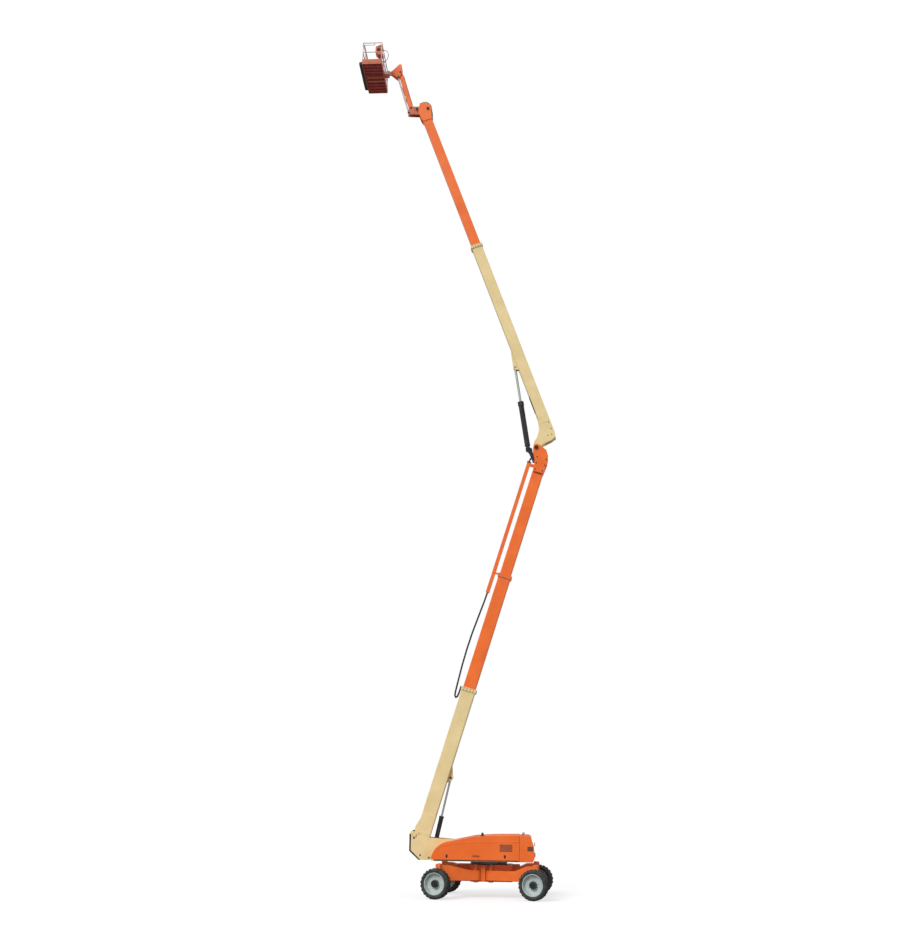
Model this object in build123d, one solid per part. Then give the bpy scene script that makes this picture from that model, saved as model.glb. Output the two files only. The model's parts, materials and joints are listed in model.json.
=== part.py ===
from build123d import *
import math
import os

# Articulating boom lift, fully raised, in millimetres. X runs along the machine with the
# platform at -X, Y across it and Z up. Every X is measured from the swing axis. ORIGIN_X then
# moves the whole machine so that its origin lies on the ground under the middle of its length.
ORIGIN_X = 1705 - 22
PIN_GAP = 0.3
RUN_GAP = 10
PLATE = 30

# Wheels, kingpins and steering
WHEELBASE = 3810
TRACK = 3365
TYRE_RADIUS = 577.5
TYRE_WIDTH = 445
RIM_RADIUS = 415
RIM_WALL = 12
HUB_RADIUS = 145
KINGPIN_OFFSET = 420
KINGPIN_RADIUS = 48
STEER_ANGLE = 15.4
AXLE_HEIGHT = TYRE_RADIUS
KINGPIN_Y = TRACK / 2 - KINGPIN_OFFSET * math.cos(math.radians(STEER_ANGLE))

# Axle arms and chassis
ARM_PIVOT_Y = 620
FRONT_ARM_PIVOT_X = 500
REAR_ARM_PIVOT_X = 100
ARM_ROOT_RADIUS = 230
ARM_NECK = 380
ARM_HEAD_RADIUS = 100
ARM_BOTTOM = 668
ARM_ROOT_TOP = 1035
ARM_HEAD_TOP = 1232
ARM_PIN_RADIUS = 60
YOKE_PLATE = 52
CHASSIS_HALF_WIDTH = 640
CHASSIS_LENGTH = 2500
CHASSIS_BOTTOM = 600
CHASSIS_TOP = 1240
CHASSIS_PLATE_FRONT = 720
CHASSIS_PLATE_REAR = 950
SPINE_HALF_WIDTH = 330
LUG_REACH = 90
LUG_Y = 220
LUG_Z = 800
LUG_BORE_RADIUS = 35
LUG_RADIUS = 70
BEARING_RADIUS = 720
BEARING_TOP = 1380

# Turntable
DECK_PLATE = 26
DECK_FRONT = 2240
DECK_REAR = 1250
DECK_HALF_WIDTH = 1120
CHEEK_IN = 400
CHEEK_PLATE = 40
CHEEK_FRONT = 3200
CHEEK_FRONT_TOP = 2380
CHEEK_REAR_TOP = 2360
CHEEK_CHIN = 1720
TOWER_PIVOT_X = -3015
TOWER_PIVOT_Z = 2360
TOWER_PIN_RADIUS = 60
HOOD_OUT = 1200
HOOD_TOP = 2390
HOOD_BOTTOM = 1412
HOOD_WALL = 25
HINGE_Y = 420
HINGE_Z = HOOD_TOP - 10
HINGE_RADIUS = 14
HINGE_PIN_RADIUS = 6
HINGE_LENGTH = 60
HINGE_GAP = 4
HINGE_PLACES = (500, 850, 1150)
COUNTERWEIGHT_REAR = 1850
COUNTERWEIGHT_SLOT = 360
COUNTERWEIGHT_SLOT_Z = 1680

# Tower boom: leans back over the turntable
TOWER_ANGLE = 72.6
TOWER_AXIS = -320
TOWER_DEPTH = 580
TOWER_WIDTH = 460
TOWER_WALL = 12
SECTION_GAP = 13
PAD_GAP = 0.3
TOWER_BASE_END = 6240
TOWER_MID_END = 11300
TOWER_FLY_END = 16750
COLLAR_LENGTH = 150
COLLAR_RISE = 35
TOWER_STROKE = 4900
TOWER_OVERLAP = 1000

# Tower lift cylinder
TOWER_CYL_X = -2290
TOWER_CYL_Z = 1550
TOWER_LUG_X = 2550
TOWER_LUG_Z = -700
TOWER_BARREL_RADIUS = 90
TOWER_BARREL_LENGTH = 1560
TOWER_ROD_RADIUS = 42
TOWER_ROD_ENGAGED = 60

# Hose carrier and its guard beside the tower
CONDUIT_START = 10350
CONDUIT_END = 16480
CONDUIT_HALF = 45
CARRIER_RADIUS = 34
# The carrier's route beside the tower. Columns: along the tower, height above its pivot.
CARRIER_ROUTE = [(11290, 184), (10500, 186), (9900, 205), (9200, 245), (8500, 282), (7800, 290), (7100, 272),
                 (6500, 238), (5980, 204), (5790, 178), (5720, 120), (5780, 62), (5960, 42), (6200, 42)]

# Knuckle and main boom: leans forward
KNUCKLE_REACH = 390
KNUCKLE_ALONG = TOWER_FLY_END + KNUCKLE_REACH
KNUCKLE_RISE = 60
KNUCKLE_PIN_RADIUS = 60
MAIN_ANGLE = 109.6
MAIN_AXIS = 780
MAIN_DEPTH = 480
MAIN_WIDTH = 400
MAIN_WALL = 10
MAIN_BASE_END = 10350
MAIN_FLY_END = 17700
MAIN_OVERLAP = 1150
HEAD_REACH = 380
HEAD_ALONG = MAIN_FLY_END + HEAD_REACH
HEAD_RISE = 980

# Main lift cylinder
MAIN_CYL_BACK = 116
MAIN_CYL_ALONG = KNUCKLE_ALONG - MAIN_CYL_BACK
MAIN_CYL_RISE = 406
MAIN_LUG_X = 3970
MAIN_LUG_Z = 425
MAIN_BARREL_RADIUS = 120
MAIN_BARREL_LENGTH = 2260
MAIN_ROD_RADIUS = 55

# Jib and platform
JIB_LENGTH = 2130
JIB_ANGLE = 105.8
JIB_DEPTH = 200
JIB_WIDTH = 150
JIB_WALL = 8
JIB_PIN_X = -830
JIB_PIN_Z = 110
JIB_PIN_RADIUS = 30
JIB_SIDE_GAP = 7
LINK_X = -100
LINK_Z = -265
LINK_DEPTH = 76
LINK_PLATE = 18
BRACKET_PLATE = 20
BOSS_X = -500
BOSS_Z = 20
BOSS_RADIUS = 120
JIB_CYL_X = 90
JIB_CYL_Z = -270
JIB_LUG_X = 1200
JIB_LUG_Z = -140
JIB_BARREL_RADIUS = 42
JIB_BARREL_LENGTH = 930
JIB_ROD_RADIUS = 22
ROTATOR_X = -620
ROTATOR_RADIUS = 95
ROTATOR_HALF = 120
PLATFORM_WIDTH = 2440
PLATFORM_DEPTH = 950
PLATFORM_GAP = 170
FLOOR_DROP = 154.3
FLOOR_PLATE = 30
RIM_DROP = 110
RIM_PLATE = 20
TOE_HEIGHT = 150
RAIL_HEIGHT = 1100
MID_RAIL_HEIGHT = 560
RAIL_RADIUS = 21
POST_RADIUS = 19
PANEL_REACH = 160
GATE_OFFSET = 62
CONSOLE_Y = 340 - PLATFORM_WIDTH / 2
GLAND_Y = 200 - PLATFORM_WIDTH / 2
GLAND_HEIGHT = 770
CONSOLE_HALF = 190
PLATFORM_HOSE_RADIUS = 13


def rad(angle):
    return math.radians(angle)


def block(x0, x1, y0, y1, z0, z1):
    """A block between two corners."""
    return Pos((x0 + x1) / 2, (y0 + y1) / 2, (z0 + z1) / 2) * Box(x1 - x0, y1 - y0, z1 - z0)


def mirror_y(shape):
    """The shape and its mirror image across the machine."""
    return shape + mirror(shape, about=Plane.XZ)


def disc(x, z, radius, y0, y1):
    """A round bar across the machine."""
    return Pos(x, (y0 + y1) / 2, z) * Rot(90, 0, 0) * Cylinder(radius, y1 - y0)


def plate(points, y0, y1):
    """A flat plate with a straight-edged outline in X and Z, between two Y."""
    outline = make_face(Polyline(*points, close=True))
    return extrude(Plane.XZ.offset(-y1) * outline, y1 - y0)


def capsule(a, b, ra, rb, y0, y1):
    """A plate with two round ends, from a to b in X and Z."""
    edges = (Pos(*a) * Circle(ra)).edges() + (Pos(*b) * Circle(rb)).edges()
    return extrude(Plane.XZ.offset(-y1) * make_face(make_hull(edges)), y1 - y0)


def tube(x0, x1, width, depth, wall, z):
    """A hollow boom section along X, open at both ends."""
    corner = 2.5 * wall
    section = RectangleRounded(width, depth, corner)
    section -= RectangleRounded(width - 2 * wall, depth - 2 * wall, corner - wall)
    return Pos(x0, 0, z) * extrude(Plane.YZ * section, x1 - x0)


def ring(x0, x1, width, depth, corner, inner_width, inner_depth, z):
    """A frame round a boom section, with a square hole."""
    section = RectangleRounded(width, depth, corner) - Rectangle(inner_width, inner_depth)
    return Pos(x0, 0, z) * extrude(Plane.YZ * section, x1 - x0)


def boom_frame(x, z, angle, up):
    """The frame of a boom at its pivot: X along it, Z to its upper side when stowed."""
    along = (math.cos(rad(angle)), 0, math.sin(rad(angle)))
    above = (-up * math.sin(rad(angle)), 0, up * math.cos(rad(angle)))
    return Plane(origin=(x, 0, z), x_dir=along, z_dir=above)


def at_frame(frame, x, z):
    """A boom's own X and Z as X and Z of the machine."""
    point = frame.from_local_coords(Vector(x, 0, z))
    return point.X, point.Z


def shaft(x0, x1, radius):
    """A round bar along X."""
    return Pos((x0 + x1) / 2, 0, 0) * Rot(0, 90, 0) * Cylinder(radius, x1 - x0)


def barrel(length, radius, lug_radius, lug_half, rod_radius, gland_rise, gland_length):
    """A cylinder barrel along X from its foot eye, bored where the rod runs."""
    shape = shaft(lug_radius + 55, length, radius)
    shape += shaft(length - gland_length, length, radius + gland_rise)
    shape += block(0, lug_radius + 70, -lug_half, lug_half, -lug_radius * 0.8, lug_radius * 0.8)
    shape += disc(0, 0, lug_radius, -lug_half, lug_half)
    return shape - shaft(lug_radius + 100, length + 1, rod_radius + PIN_GAP)


def rod(start, length, radius, eye_radius, eye_half):
    """A cylinder rod along X, ending in an eye with its own flush pin."""
    return shaft(start, length - eye_radius / 2, radius) + disc(length, 0, eye_radius, -eye_half, eye_half)


nodes = {}


def keep(name, shape):
    """Hold a finished piece under its node's name."""
    nodes[name] = Pos(ORIGIN_X, 0, 0) * shape


# Corner table. Columns: name, end along X, side across Y, arm pivot's X from the swing axis,
# length of the level top of the arm.
CORNERS = [
    ("front_near", -1, -1, FRONT_ARM_PIVOT_X, 250),
    ("front_far", -1, 1, FRONT_ARM_PIVOT_X, 250),
    ("rear_near", 1, -1, REAR_ARM_PIVOT_X, 1050),
    ("rear_far", 1, 1, REAR_ARM_PIVOT_X, 1050),
]


def corner_frames(end, side, pivot_x):
    """Frames at the arm's pivot, along the arm, and at the kingpin, along the axle."""
    pivot = (end * pivot_x, side * ARM_PIVOT_Y, 0)
    kingpin = (end * WHEELBASE / 2, side * KINGPIN_Y, 0)
    along = (kingpin[0] - pivot[0], kingpin[1] - pivot[1], 0)
    arm = Plane(origin=pivot, x_dir=along, z_dir=(0, 0, 1))
    outward = (side * math.sin(rad(STEER_ANGLE)), side * math.cos(rad(STEER_ANGLE)), 0)
    axle = Plane(origin=(kingpin[0], kingpin[1], AXLE_HEIGHT), x_dir=outward, z_dir=(0, 0, 1))
    return arm, axle, math.hypot(along[0], along[1])


def upright(x, radius, z0, z1):
    """A vertical bar."""
    return Pos(x, 0, (z0 + z1) / 2) * Cylinder(radius, z1 - z0)


def axle_arm(length, level):
    """A deep tapered arm from its pivot pin to the kingpin head."""
    neck = length - ARM_NECK
    root = Circle(ARM_ROOT_RADIUS).edges()
    waist = (Pos(neck, 0) * Circle(ARM_HEAD_RADIUS)).edges()
    head = (Pos(length, 0) * Circle(ARM_HEAD_RADIUS)).edges()
    plan = make_face(make_hull(root + waist)) + make_face(make_hull(waist + head))
    body = extrude(Pos(0, 0, ARM_BOTTOM) * plan, ARM_HEAD_TOP - ARM_BOTTOM)
    cut = [(-ARM_ROOT_RADIUS - 10, ARM_ROOT_TOP), (level, ARM_ROOT_TOP), (neck, ARM_HEAD_TOP),
           (neck, ARM_HEAD_TOP + 10), (-ARM_ROOT_RADIUS - 10, ARM_HEAD_TOP + 10)]
    body -= plate(cut, -ARM_ROOT_RADIUS - 10, ARM_ROOT_RADIUS + 10)
    body -= upright(0, ARM_PIN_RADIUS + PIN_GAP, ARM_BOTTOM - 1, ARM_ROOT_TOP + 1)
    return body - upright(length, KINGPIN_RADIUS + PIN_GAP, ARM_BOTTOM - 1, ARM_HEAD_TOP + 1)


def steering_knuckle():
    """A yoke round the kingpin head, its kingpin and the drive housing of the wheel."""
    top = ARM_HEAD_TOP - AXLE_HEIGHT + PIN_GAP
    low = ARM_BOTTOM - AXLE_HEIGHT - PIN_GAP
    web_in = ARM_HEAD_RADIUS + RUN_GAP
    web_out = KINGPIN_OFFSET - TYRE_WIDTH / 2 - RUN_GAP
    yoke = block(web_in, web_out, -95, 95, low - YOKE_PLATE, top + YOKE_PLATE)
    for z0, z1 in ((top, top + YOKE_PLATE), (low - YOKE_PLATE, low)):
        yoke += upright(0, ARM_HEAD_RADIUS - 5, z0, z1)
        yoke += block(0, web_out, -ARM_HEAD_RADIUS + 5, ARM_HEAD_RADIUS - 5, z0, z1)
    yoke += upright(0, KINGPIN_RADIUS, low - YOKE_PLATE, top + YOKE_PLATE)
    housing = Rot(0, 90, 0) * Cylinder(HUB_RADIUS + 40, KINGPIN_OFFSET - 60 - web_out,
                                       align=(Align.CENTER, Align.CENTER, Align.MIN))
    neck = block(web_in, web_out, -HUB_RADIUS, HUB_RADIUS, -HUB_RADIUS, low)
    return yoke + neck + Pos(web_out, 0, 0) * housing


def tyre():
    """A tyre with bulging walls and a nearly flat tread."""
    c = KINGPIN_OFFSET
    half = TYRE_WIDTH / 2
    bead = RIM_RADIUS + PIN_GAP
    points = [(c - half + 45, bead), (c + half - 45, bead), (c + half, bead + 55),
              (c + half, TYRE_RADIUS - 62), (c + half - 48, TYRE_RADIUS - 6), (c, TYRE_RADIUS),
              (c - half + 48, TYRE_RADIUS - 6), (c - half, TYRE_RADIUS - 62), (c - half, bead + 55)]
    return revolve(Plane.XZ * make_face(Polyline(*points, close=True)), axis=Axis.X)


def wheel_rim():
    """A dished rim: the seat of the tyre, and a disc that falls in towards the hub."""
    c = KINGPIN_OFFSET
    half = TYRE_WIDTH / 2 - 45
    inner = RIM_RADIUS - RIM_WALL
    points = [(c - half, RIM_RADIUS), (c + half + 6, RIM_RADIUS), (c + half + 6, inner - 12),
              (c + half - 25, inner - 20), (c + 40, inner - 70), (c + 20, HUB_RADIUS + 70),
              (c + 20, HUB_RADIUS + PIN_GAP), (c - 10, HUB_RADIUS + PIN_GAP), (c - 10, inner),
              (c - half, inner)]
    return revolve(Plane.XZ * make_face(Polyline(*points, close=True)), axis=Axis.X)


def drive_hub():
    """The stepped cover of the wheel's planetary drive."""
    c = KINGPIN_OFFSET
    points = [(c - 59.5, 0), (c - 59.5, HUB_RADIUS + 40), (c - 10.3, HUB_RADIUS + 40), (c - 10.3, HUB_RADIUS),
              (c + 150, HUB_RADIUS - 10), (c + 175, HUB_RADIUS - 40), (c + 175, 60), (c + 192, 50),
              (c + 192, 0)]
    return revolve(Plane.XZ * make_face(Polyline(*points, close=True)), axis=Axis.X)


for name, end, side, pivot_x, level in CORNERS:
    arm_frame, axle_frame, arm_length = corner_frames(end, side, pivot_x)
    keep("axle_arm_" + name, arm_frame.location * axle_arm(arm_length, level))
    keep("steering_knuckle_" + name, axle_frame.location * steering_knuckle())
    keep("tyre_" + name, axle_frame.location * tyre())
    keep("wheel_rim_" + name, axle_frame.location * wheel_rim())
    keep("drive_hub_" + name, axle_frame.location * drive_hub())


def chassis_frame():
    """A spine with plates above and below the arms, and the four arm pins."""
    half = CHASSIS_LENGTH / 2
    shape = block(-half, half, -SPINE_HALF_WIDTH, SPINE_HALF_WIDTH, CHASSIS_BOTTOM, CHASSIS_TOP)
    top_low = ARM_ROOT_TOP + PIN_GAP
    bottom_high = ARM_BOTTOM - PIN_GAP
    for z0, z1 in ((top_low, CHASSIS_TOP), (CHASSIS_BOTTOM, bottom_high)):
        shape += block(-CHASSIS_PLATE_FRONT, CHASSIS_PLATE_REAR, -CHASSIS_HALF_WIDTH, CHASSIS_HALF_WIDTH,
                       z0, z1)
    for name, end, side, pivot_x, level in CORNERS:
        place = Pos(end * pivot_x, side * ARM_PIVOT_Y, 0)
        shape += place * upright(0, ARM_PIN_RADIUS, CHASSIS_BOTTOM, CHASSIS_TOP)
        shape += place * upright(0, ARM_PIN_RADIUS * 2, top_low, CHASSIS_TOP)
        shape += place * upright(0, ARM_PIN_RADIUS * 2, CHASSIS_BOTTOM, bottom_high)
    low = LUG_Z - PLATE / 2
    high = LUG_Z + PLATE / 2
    for end in (-1, 1):
        for side in (-1, 1):
            edge = end * half
            tip = edge + end * LUG_REACH
            y = side * LUG_Y
            shape += block(min(edge, tip), max(edge, tip), y - LUG_RADIUS, y + LUG_RADIUS, low, high)
            shape += Pos(tip, y, 0) * upright(0, LUG_RADIUS, low, high)
            shape -= Pos(tip, y, 0) * upright(0, LUG_BORE_RADIUS, low - 1, high + 1)
    return shape


keep("chassis_frame", chassis_frame())
keep("swing_bearing", upright(0, BEARING_RADIUS, CHASSIS_TOP, BEARING_TOP - PIN_GAP))

# Turntable. The cheeks carry the tower's pivot and the foot of its lift cylinder.
tower_frame = boom_frame(TOWER_PIVOT_X, TOWER_PIVOT_Z, TOWER_ANGLE, 1)
CHEEK_OUT = CHEEK_IN + CHEEK_PLATE


def turntable_frame():
    deck_top = BEARING_TOP + DECK_PLATE
    deck = block(-DECK_FRONT, DECK_REAR, -DECK_HALF_WIDTH, DECK_HALF_WIDTH, BEARING_TOP, deck_top)
    outline = [(-CHEEK_FRONT, CHEEK_FRONT_TOP), (-CHEEK_FRONT, CHEEK_CHIN), (-DECK_FRONT - 580, BEARING_TOP),
               (DECK_REAR, BEARING_TOP), (DECK_REAR, CHEEK_REAR_TOP), (-250, CHEEK_REAR_TOP - 40),
               (-420, CHEEK_REAR_TOP - 220), (-1120, CHEEK_REAR_TOP - 200), (-2380, CHEEK_FRONT_TOP - 140),
               (-2700, CHEEK_FRONT_TOP - 50)]
    cheek = plate(outline, CHEEK_IN, CHEEK_OUT)
    cheek += disc(TOWER_PIVOT_X, TOWER_PIVOT_Z, 170, CHEEK_IN, CHEEK_OUT)
    cheek += disc(TOWER_PIVOT_X, TOWER_PIVOT_Z, 110, CHEEK_OUT, CHEEK_OUT + 25)
    cheek += disc(TOWER_CYL_X, TOWER_CYL_Z, 90, 110, CHEEK_IN)
    frame = deck + mirror_y(cheek)
    frame += disc(TOWER_PIVOT_X, TOWER_PIVOT_Z, TOWER_PIN_RADIUS, -CHEEK_OUT - 10, CHEEK_OUT + 10)
    frame += disc(TOWER_CYL_X, TOWER_CYL_Z, 50, -120, 120)
    for x in HINGE_PLACES:
        reach = HINGE_LENGTH / 2 + HINGE_GAP
        hinge = Pos(x, HINGE_Y, HINGE_Z) * shaft(-reach - HINGE_GAP, reach + HINGE_GAP, HINGE_PIN_RADIUS)
        for x0 in (x - reach - HINGE_GAP * 2, x + reach):
            hinge += block(x0, x0 + HINGE_GAP * 2, HINGE_Y - 8, HINGE_Y + 8, CHEEK_REAR_TOP - 60, HINGE_Z + 8)
        frame += mirror_y(hinge)
    return frame


def front_guard():
    """A bent plate that closes the front of the cheeks."""
    top = CHEEK_FRONT_TOP - 200
    outline = [(-CHEEK_FRONT, top), (-CHEEK_FRONT, CHEEK_CHIN), (-DECK_FRONT - 580, BEARING_TOP),
               (-DECK_FRONT - 500, BEARING_TOP), (-CHEEK_FRONT + 40, CHEEK_CHIN + 20),
               (-CHEEK_FRONT + 40, top)]
    return plate(outline, -CHEEK_IN, CHEEK_IN)


HOOD_INNER = CHEEK_OUT + PIN_GAP
HOOD_REAR = DECK_REAR - RUN_GAP


def hood(side):
    """A hollow engine or tank cover with a swept nose, open below."""
    def outline(inset):
        nose = ThreePointArc((-2240 + inset, 1560), (-2040 + inset, 1900 - inset), (-1640, 2103 - inset))
        back = Polyline((-1640, 2103 - inset), (-540, 2328 - inset), (200, HOOD_TOP - 20 - inset),
                        (HOOD_REAR - inset, HOOD_TOP - inset), (HOOD_REAR - inset, HOOD_BOTTOM),
                        (-2150 + inset, HOOD_BOTTOM), (-2240 + inset, 1560))
        return make_face(nose.edges() + back.edges())
    shell = extrude(Plane.XZ.offset(-HOOD_OUT) * outline(0), HOOD_OUT - HOOD_INNER)
    hollow = Plane.XZ.offset(-HOOD_OUT + HOOD_WALL) * outline(HOOD_WALL)
    shell -= extrude(hollow, HOOD_OUT - HOOD_INNER)
    shell -= block(-2100, HOOD_REAR - HOOD_WALL, HOOD_INNER - 1, HOOD_OUT - HOOD_WALL, HOOD_BOTTOM - 5,
                   HOOD_BOTTOM + HOOD_WALL + 1)
    for x in HINGE_PLACES:
        shell += block(x - HINGE_LENGTH / 2, x + HINGE_LENGTH / 2, HINGE_Y, HOOD_INNER + 60,
                       HINGE_Z - 6, HINGE_Z + 6)
        knuckle_tube = shaft(-HINGE_LENGTH / 2, HINGE_LENGTH / 2, HINGE_RADIUS)
        shell += Pos(x, HINGE_Y, HINGE_Z) * knuckle_tube
        shell -= Pos(x, HINGE_Y, HINGE_Z) * shaft(-HINGE_LENGTH, HINGE_LENGTH, HINGE_PIN_RADIUS + PIN_GAP)
    return shell if side > 0 else mirror(shell, about=Plane.XZ)


def counterweight():
    """A cast block behind the hoods, with the tower's slot through its middle."""
    outline = [(DECK_REAR, HOOD_BOTTOM - 30), (1780, HOOD_BOTTOM - 30), (COUNTERWEIGHT_REAR, 1560),
               (COUNTERWEIGHT_REAR - 30, 1900), (1735, 2140), (1710, 2310), (1600, 2368),
               (DECK_REAR, 2368)]
    shape = plate(outline, -HOOD_OUT, HOOD_OUT)
    shape -= block(DECK_REAR - 1, COUNTERWEIGHT_REAR + 1, -COUNTERWEIGHT_SLOT, COUNTERWEIGHT_SLOT,
                   COUNTERWEIGHT_SLOT_Z, 2500)
    return shape


keep("turntable_frame", turntable_frame())
keep("front_guard", front_guard())
keep("hood_near", hood(-1))
keep("hood_far", hood(1))
keep("counterweight", counterweight())
keep("engine_block", block(-900, 500, 560, 1060, BEARING_TOP + DECK_PLATE, 2050))
keep("fuel_tank", block(-1300, 300, -1060, -560, BEARING_TOP + DECK_PLATE, 1950))

# Tower boom. Each section is smaller than the one before by its wall and the gap for the pads.
SECTION_STEP = 2 * (TOWER_WALL + SECTION_GAP)
MAIN_STEP = 2 * (MAIN_WALL + SECTION_GAP)


def base_collar(end, width, depth, wall, z):
    """The front collar of a section, with the pads that guide the next one."""
    pad = 2 * (wall + SECTION_GAP - PAD_GAP)
    return ring(end - COLLAR_LENGTH, end, width + 2 * COLLAR_RISE, depth + 2 * COLLAR_RISE, 20,
                width - pad, depth - pad, z)


def tail_pads(start, width, depth, wall, z):
    """The pads round the tail of an inner section."""
    grow = 2 * (SECTION_GAP - PAD_GAP)
    return ring(start, start + COLLAR_LENGTH, width + grow, depth + grow, 3 * wall, width - 2 * wall,
                depth - 2 * wall, z)


def cylinder_ears(points, x, z, radius, gap, thick):
    """Two ears under a boom, with a round tip about the cylinder's pin."""
    ear = plate(points, gap, gap + thick) + disc(x, z, radius, gap, gap + thick)
    ear += disc(x, z, radius * 0.55, gap + thick, gap + thick + 14)
    return mirror_y(ear)


def tower_base():
    shape = tube(-120, TOWER_BASE_END, TOWER_WIDTH, TOWER_DEPTH, TOWER_WALL, TOWER_AXIS)
    shape += base_collar(TOWER_BASE_END, TOWER_WIDTH, TOWER_DEPTH, TOWER_WALL, TOWER_AXIS)
    low = TOWER_AXIS - TOWER_DEPTH / 2
    half = TOWER_WIDTH / 2
    outline = [(-120, low), (900, low), (900, low + TOWER_DEPTH - 60), (300, 60), (-140, 60)]
    ear = plate(outline, half - 5, half + 35)
    ear += disc(0, 0, 150, half - 5, CHEEK_IN - RUN_GAP)
    shape += mirror_y(ear)
    shape -= disc(0, 0, TOWER_PIN_RADIUS + PIN_GAP, -CHEEK_IN, CHEEK_IN)
    lug = [(TOWER_LUG_X - 245, low + 5), (TOWER_LUG_X - 100, TOWER_LUG_Z - 60),
           (TOWER_LUG_X + 90, TOWER_LUG_Z - 60), (TOWER_LUG_X + 500, low + 5)]
    return shape + cylinder_ears(lug, TOWER_LUG_X, TOWER_LUG_Z, 100, 62, PLATE)


def tower_mid():
    width = TOWER_WIDTH - SECTION_STEP
    depth = TOWER_DEPTH - SECTION_STEP
    start = TOWER_BASE_END - TOWER_OVERLAP
    shape = tube(start, TOWER_MID_END, width, depth, TOWER_WALL, TOWER_AXIS)
    shape += base_collar(TOWER_MID_END, width, depth, TOWER_WALL, TOWER_AXIS)
    top = TOWER_AXIS + depth / 2 + COLLAR_RISE
    guide_in = CONDUIT_HALF + 14
    shape += mirror_y(block(TOWER_MID_END - 60, TOWER_MID_END, guide_in, guide_in + 10, top - 5, 230))
    carrier_low = CARRIER_ROUTE[0][1] - CARRIER_RADIUS - PIN_GAP
    shape += block(TOWER_MID_END - 60, TOWER_MID_END, -30, 30, top - 5, carrier_low)
    return shape + tail_pads(start, width, depth, TOWER_WALL, TOWER_AXIS)


def tower_fly():
    width = TOWER_WIDTH - 2 * SECTION_STEP
    depth = TOWER_DEPTH - 2 * SECTION_STEP
    start = TOWER_MID_END - TOWER_OVERLAP
    shape = tube(start, TOWER_FLY_END, width, depth, TOWER_WALL, TOWER_AXIS)
    return shape + tail_pads(start, width, depth, TOWER_WALL, TOWER_AXIS)


def knuckle():
    """Two plates that grip the tower's end and hold the main boom's pivot between them."""
    outline = [(16080, -560), (16080, -90), (16300, -85), (16560, -40), (16900, 140), (17090, 195),
               (17250, 190), (17320, 60), (17250, -180), (17150, -400), (16900, -560), (16600, -600)]
    half = MAIN_WIDTH / 2 + 50
    side = plate(outline, half, half + PLATE)
    side += disc(KNUCKLE_ALONG, KNUCKLE_RISE, 125, half - 8, half + PLATE + 20)
    fly_half = (TOWER_WIDTH - 2 * SECTION_STEP) / 2
    filler_start = TOWER_MID_END + TOWER_STROKE + RUN_GAP
    side += block(filler_start, TOWER_FLY_END, fly_half, half + 2, -540, -100)
    shape = mirror_y(side)
    shape += disc(KNUCKLE_ALONG, KNUCKLE_RISE, KNUCKLE_PIN_RADIUS, -half, half)
    return shape


def cylinder_bracket():
    """The foot of the main lift cylinder, on the knuckle's front."""
    fly_top = TOWER_AXIS + TOWER_DEPTH / 2 - SECTION_STEP
    foot_x = MAIN_CYL_ALONG
    outline = [(foot_x - 464, fly_top), (foot_x - 464, 60), (foot_x - 164, MAIN_CYL_RISE - 106),
               (foot_x - 105, MAIN_CYL_RISE - 30), (foot_x + 100, MAIN_CYL_RISE + 40), (foot_x + 60, 240),
               (foot_x - 124, 150), (foot_x - 274, fly_top)]
    ear = plate(outline, 92, 92 + PLATE) + disc(MAIN_CYL_ALONG, MAIN_CYL_RISE, 110, 92, 92 + PLATE)
    shape = mirror_y(ear)
    shape += disc(MAIN_CYL_ALONG, MAIN_CYL_RISE, 50, -100, 100)
    half = MAIN_WIDTH / 2 + 50
    return shape + block(foot_x - 464, foot_x - 384, -half, half, -60, 60)


def hose_conduit():
    """Two side strips beside the tower that guard the hose carrier, joined at their upper end."""
    cheek = block(CONDUIT_START, CONDUIT_END, CONDUIT_HALF, CONDUIT_HALF + 8, 110, 265)
    low = TOWER_AXIS + TOWER_DEPTH / 2 - SECTION_STEP
    cheek += block(CONDUIT_END - 180, CONDUIT_END - 60, CONDUIT_HALF, CONDUIT_HALF + 8, low, 200)
    lid = block(CONDUIT_END - 300, CONDUIT_END, -CONDUIT_HALF - 1, CONDUIT_HALF + 1, 250, 265)
    return mirror_y(cheek) + lid


def hose_carrier():
    """A link chain for the hoses: up beside the tower, with one bend back to the base's collar."""
    shape = Part()
    for a, b in zip(CARRIER_ROUTE, CARRIER_ROUTE[1:]):
        shape += capsule(a, b, CARRIER_RADIUS, CARRIER_RADIUS, -30, 30)
    return shape


keep("tower_base", tower_frame.location * tower_base())
keep("tower_mid", tower_frame.location * tower_mid())
keep("tower_fly", tower_frame.location * tower_fly())
keep("knuckle", tower_frame.location * knuckle())
keep("cylinder_bracket", tower_frame.location * cylinder_bracket())
keep("hose_conduit", tower_frame.location * hose_conduit())
keep("hose_carrier", tower_frame.location * hose_carrier())


def cylinder_frame(foot, eye):
    """A frame with X from a cylinder's foot to its rod's eye, and that distance."""
    along = (eye[0] - foot[0], 0, eye[1] - foot[1])
    frame = Plane(origin=(foot[0], 0, foot[1]), x_dir=along, z_dir=(-along[2], 0, along[0]))
    return frame, math.hypot(along[0], along[2])


tower_eye = at_frame(tower_frame, TOWER_LUG_X, TOWER_LUG_Z)
tower_cyl, tower_reach = cylinder_frame((TOWER_CYL_X, TOWER_CYL_Z), tower_eye)
tower_barrel = barrel(TOWER_BARREL_LENGTH, TOWER_BARREL_RADIUS, 85, 100, TOWER_ROD_RADIUS, 0, 160)
tower_barrel -= disc(0, 0, 50 + PIN_GAP, -101, 101)
keep("tower_cylinder_barrel", tower_cyl.location * tower_barrel)
tower_rod = rod(TOWER_BARREL_LENGTH - TOWER_ROD_ENGAGED, tower_reach, TOWER_ROD_RADIUS, 70, 52)
keep("tower_cylinder_rod", tower_cyl.location * tower_rod)

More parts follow.
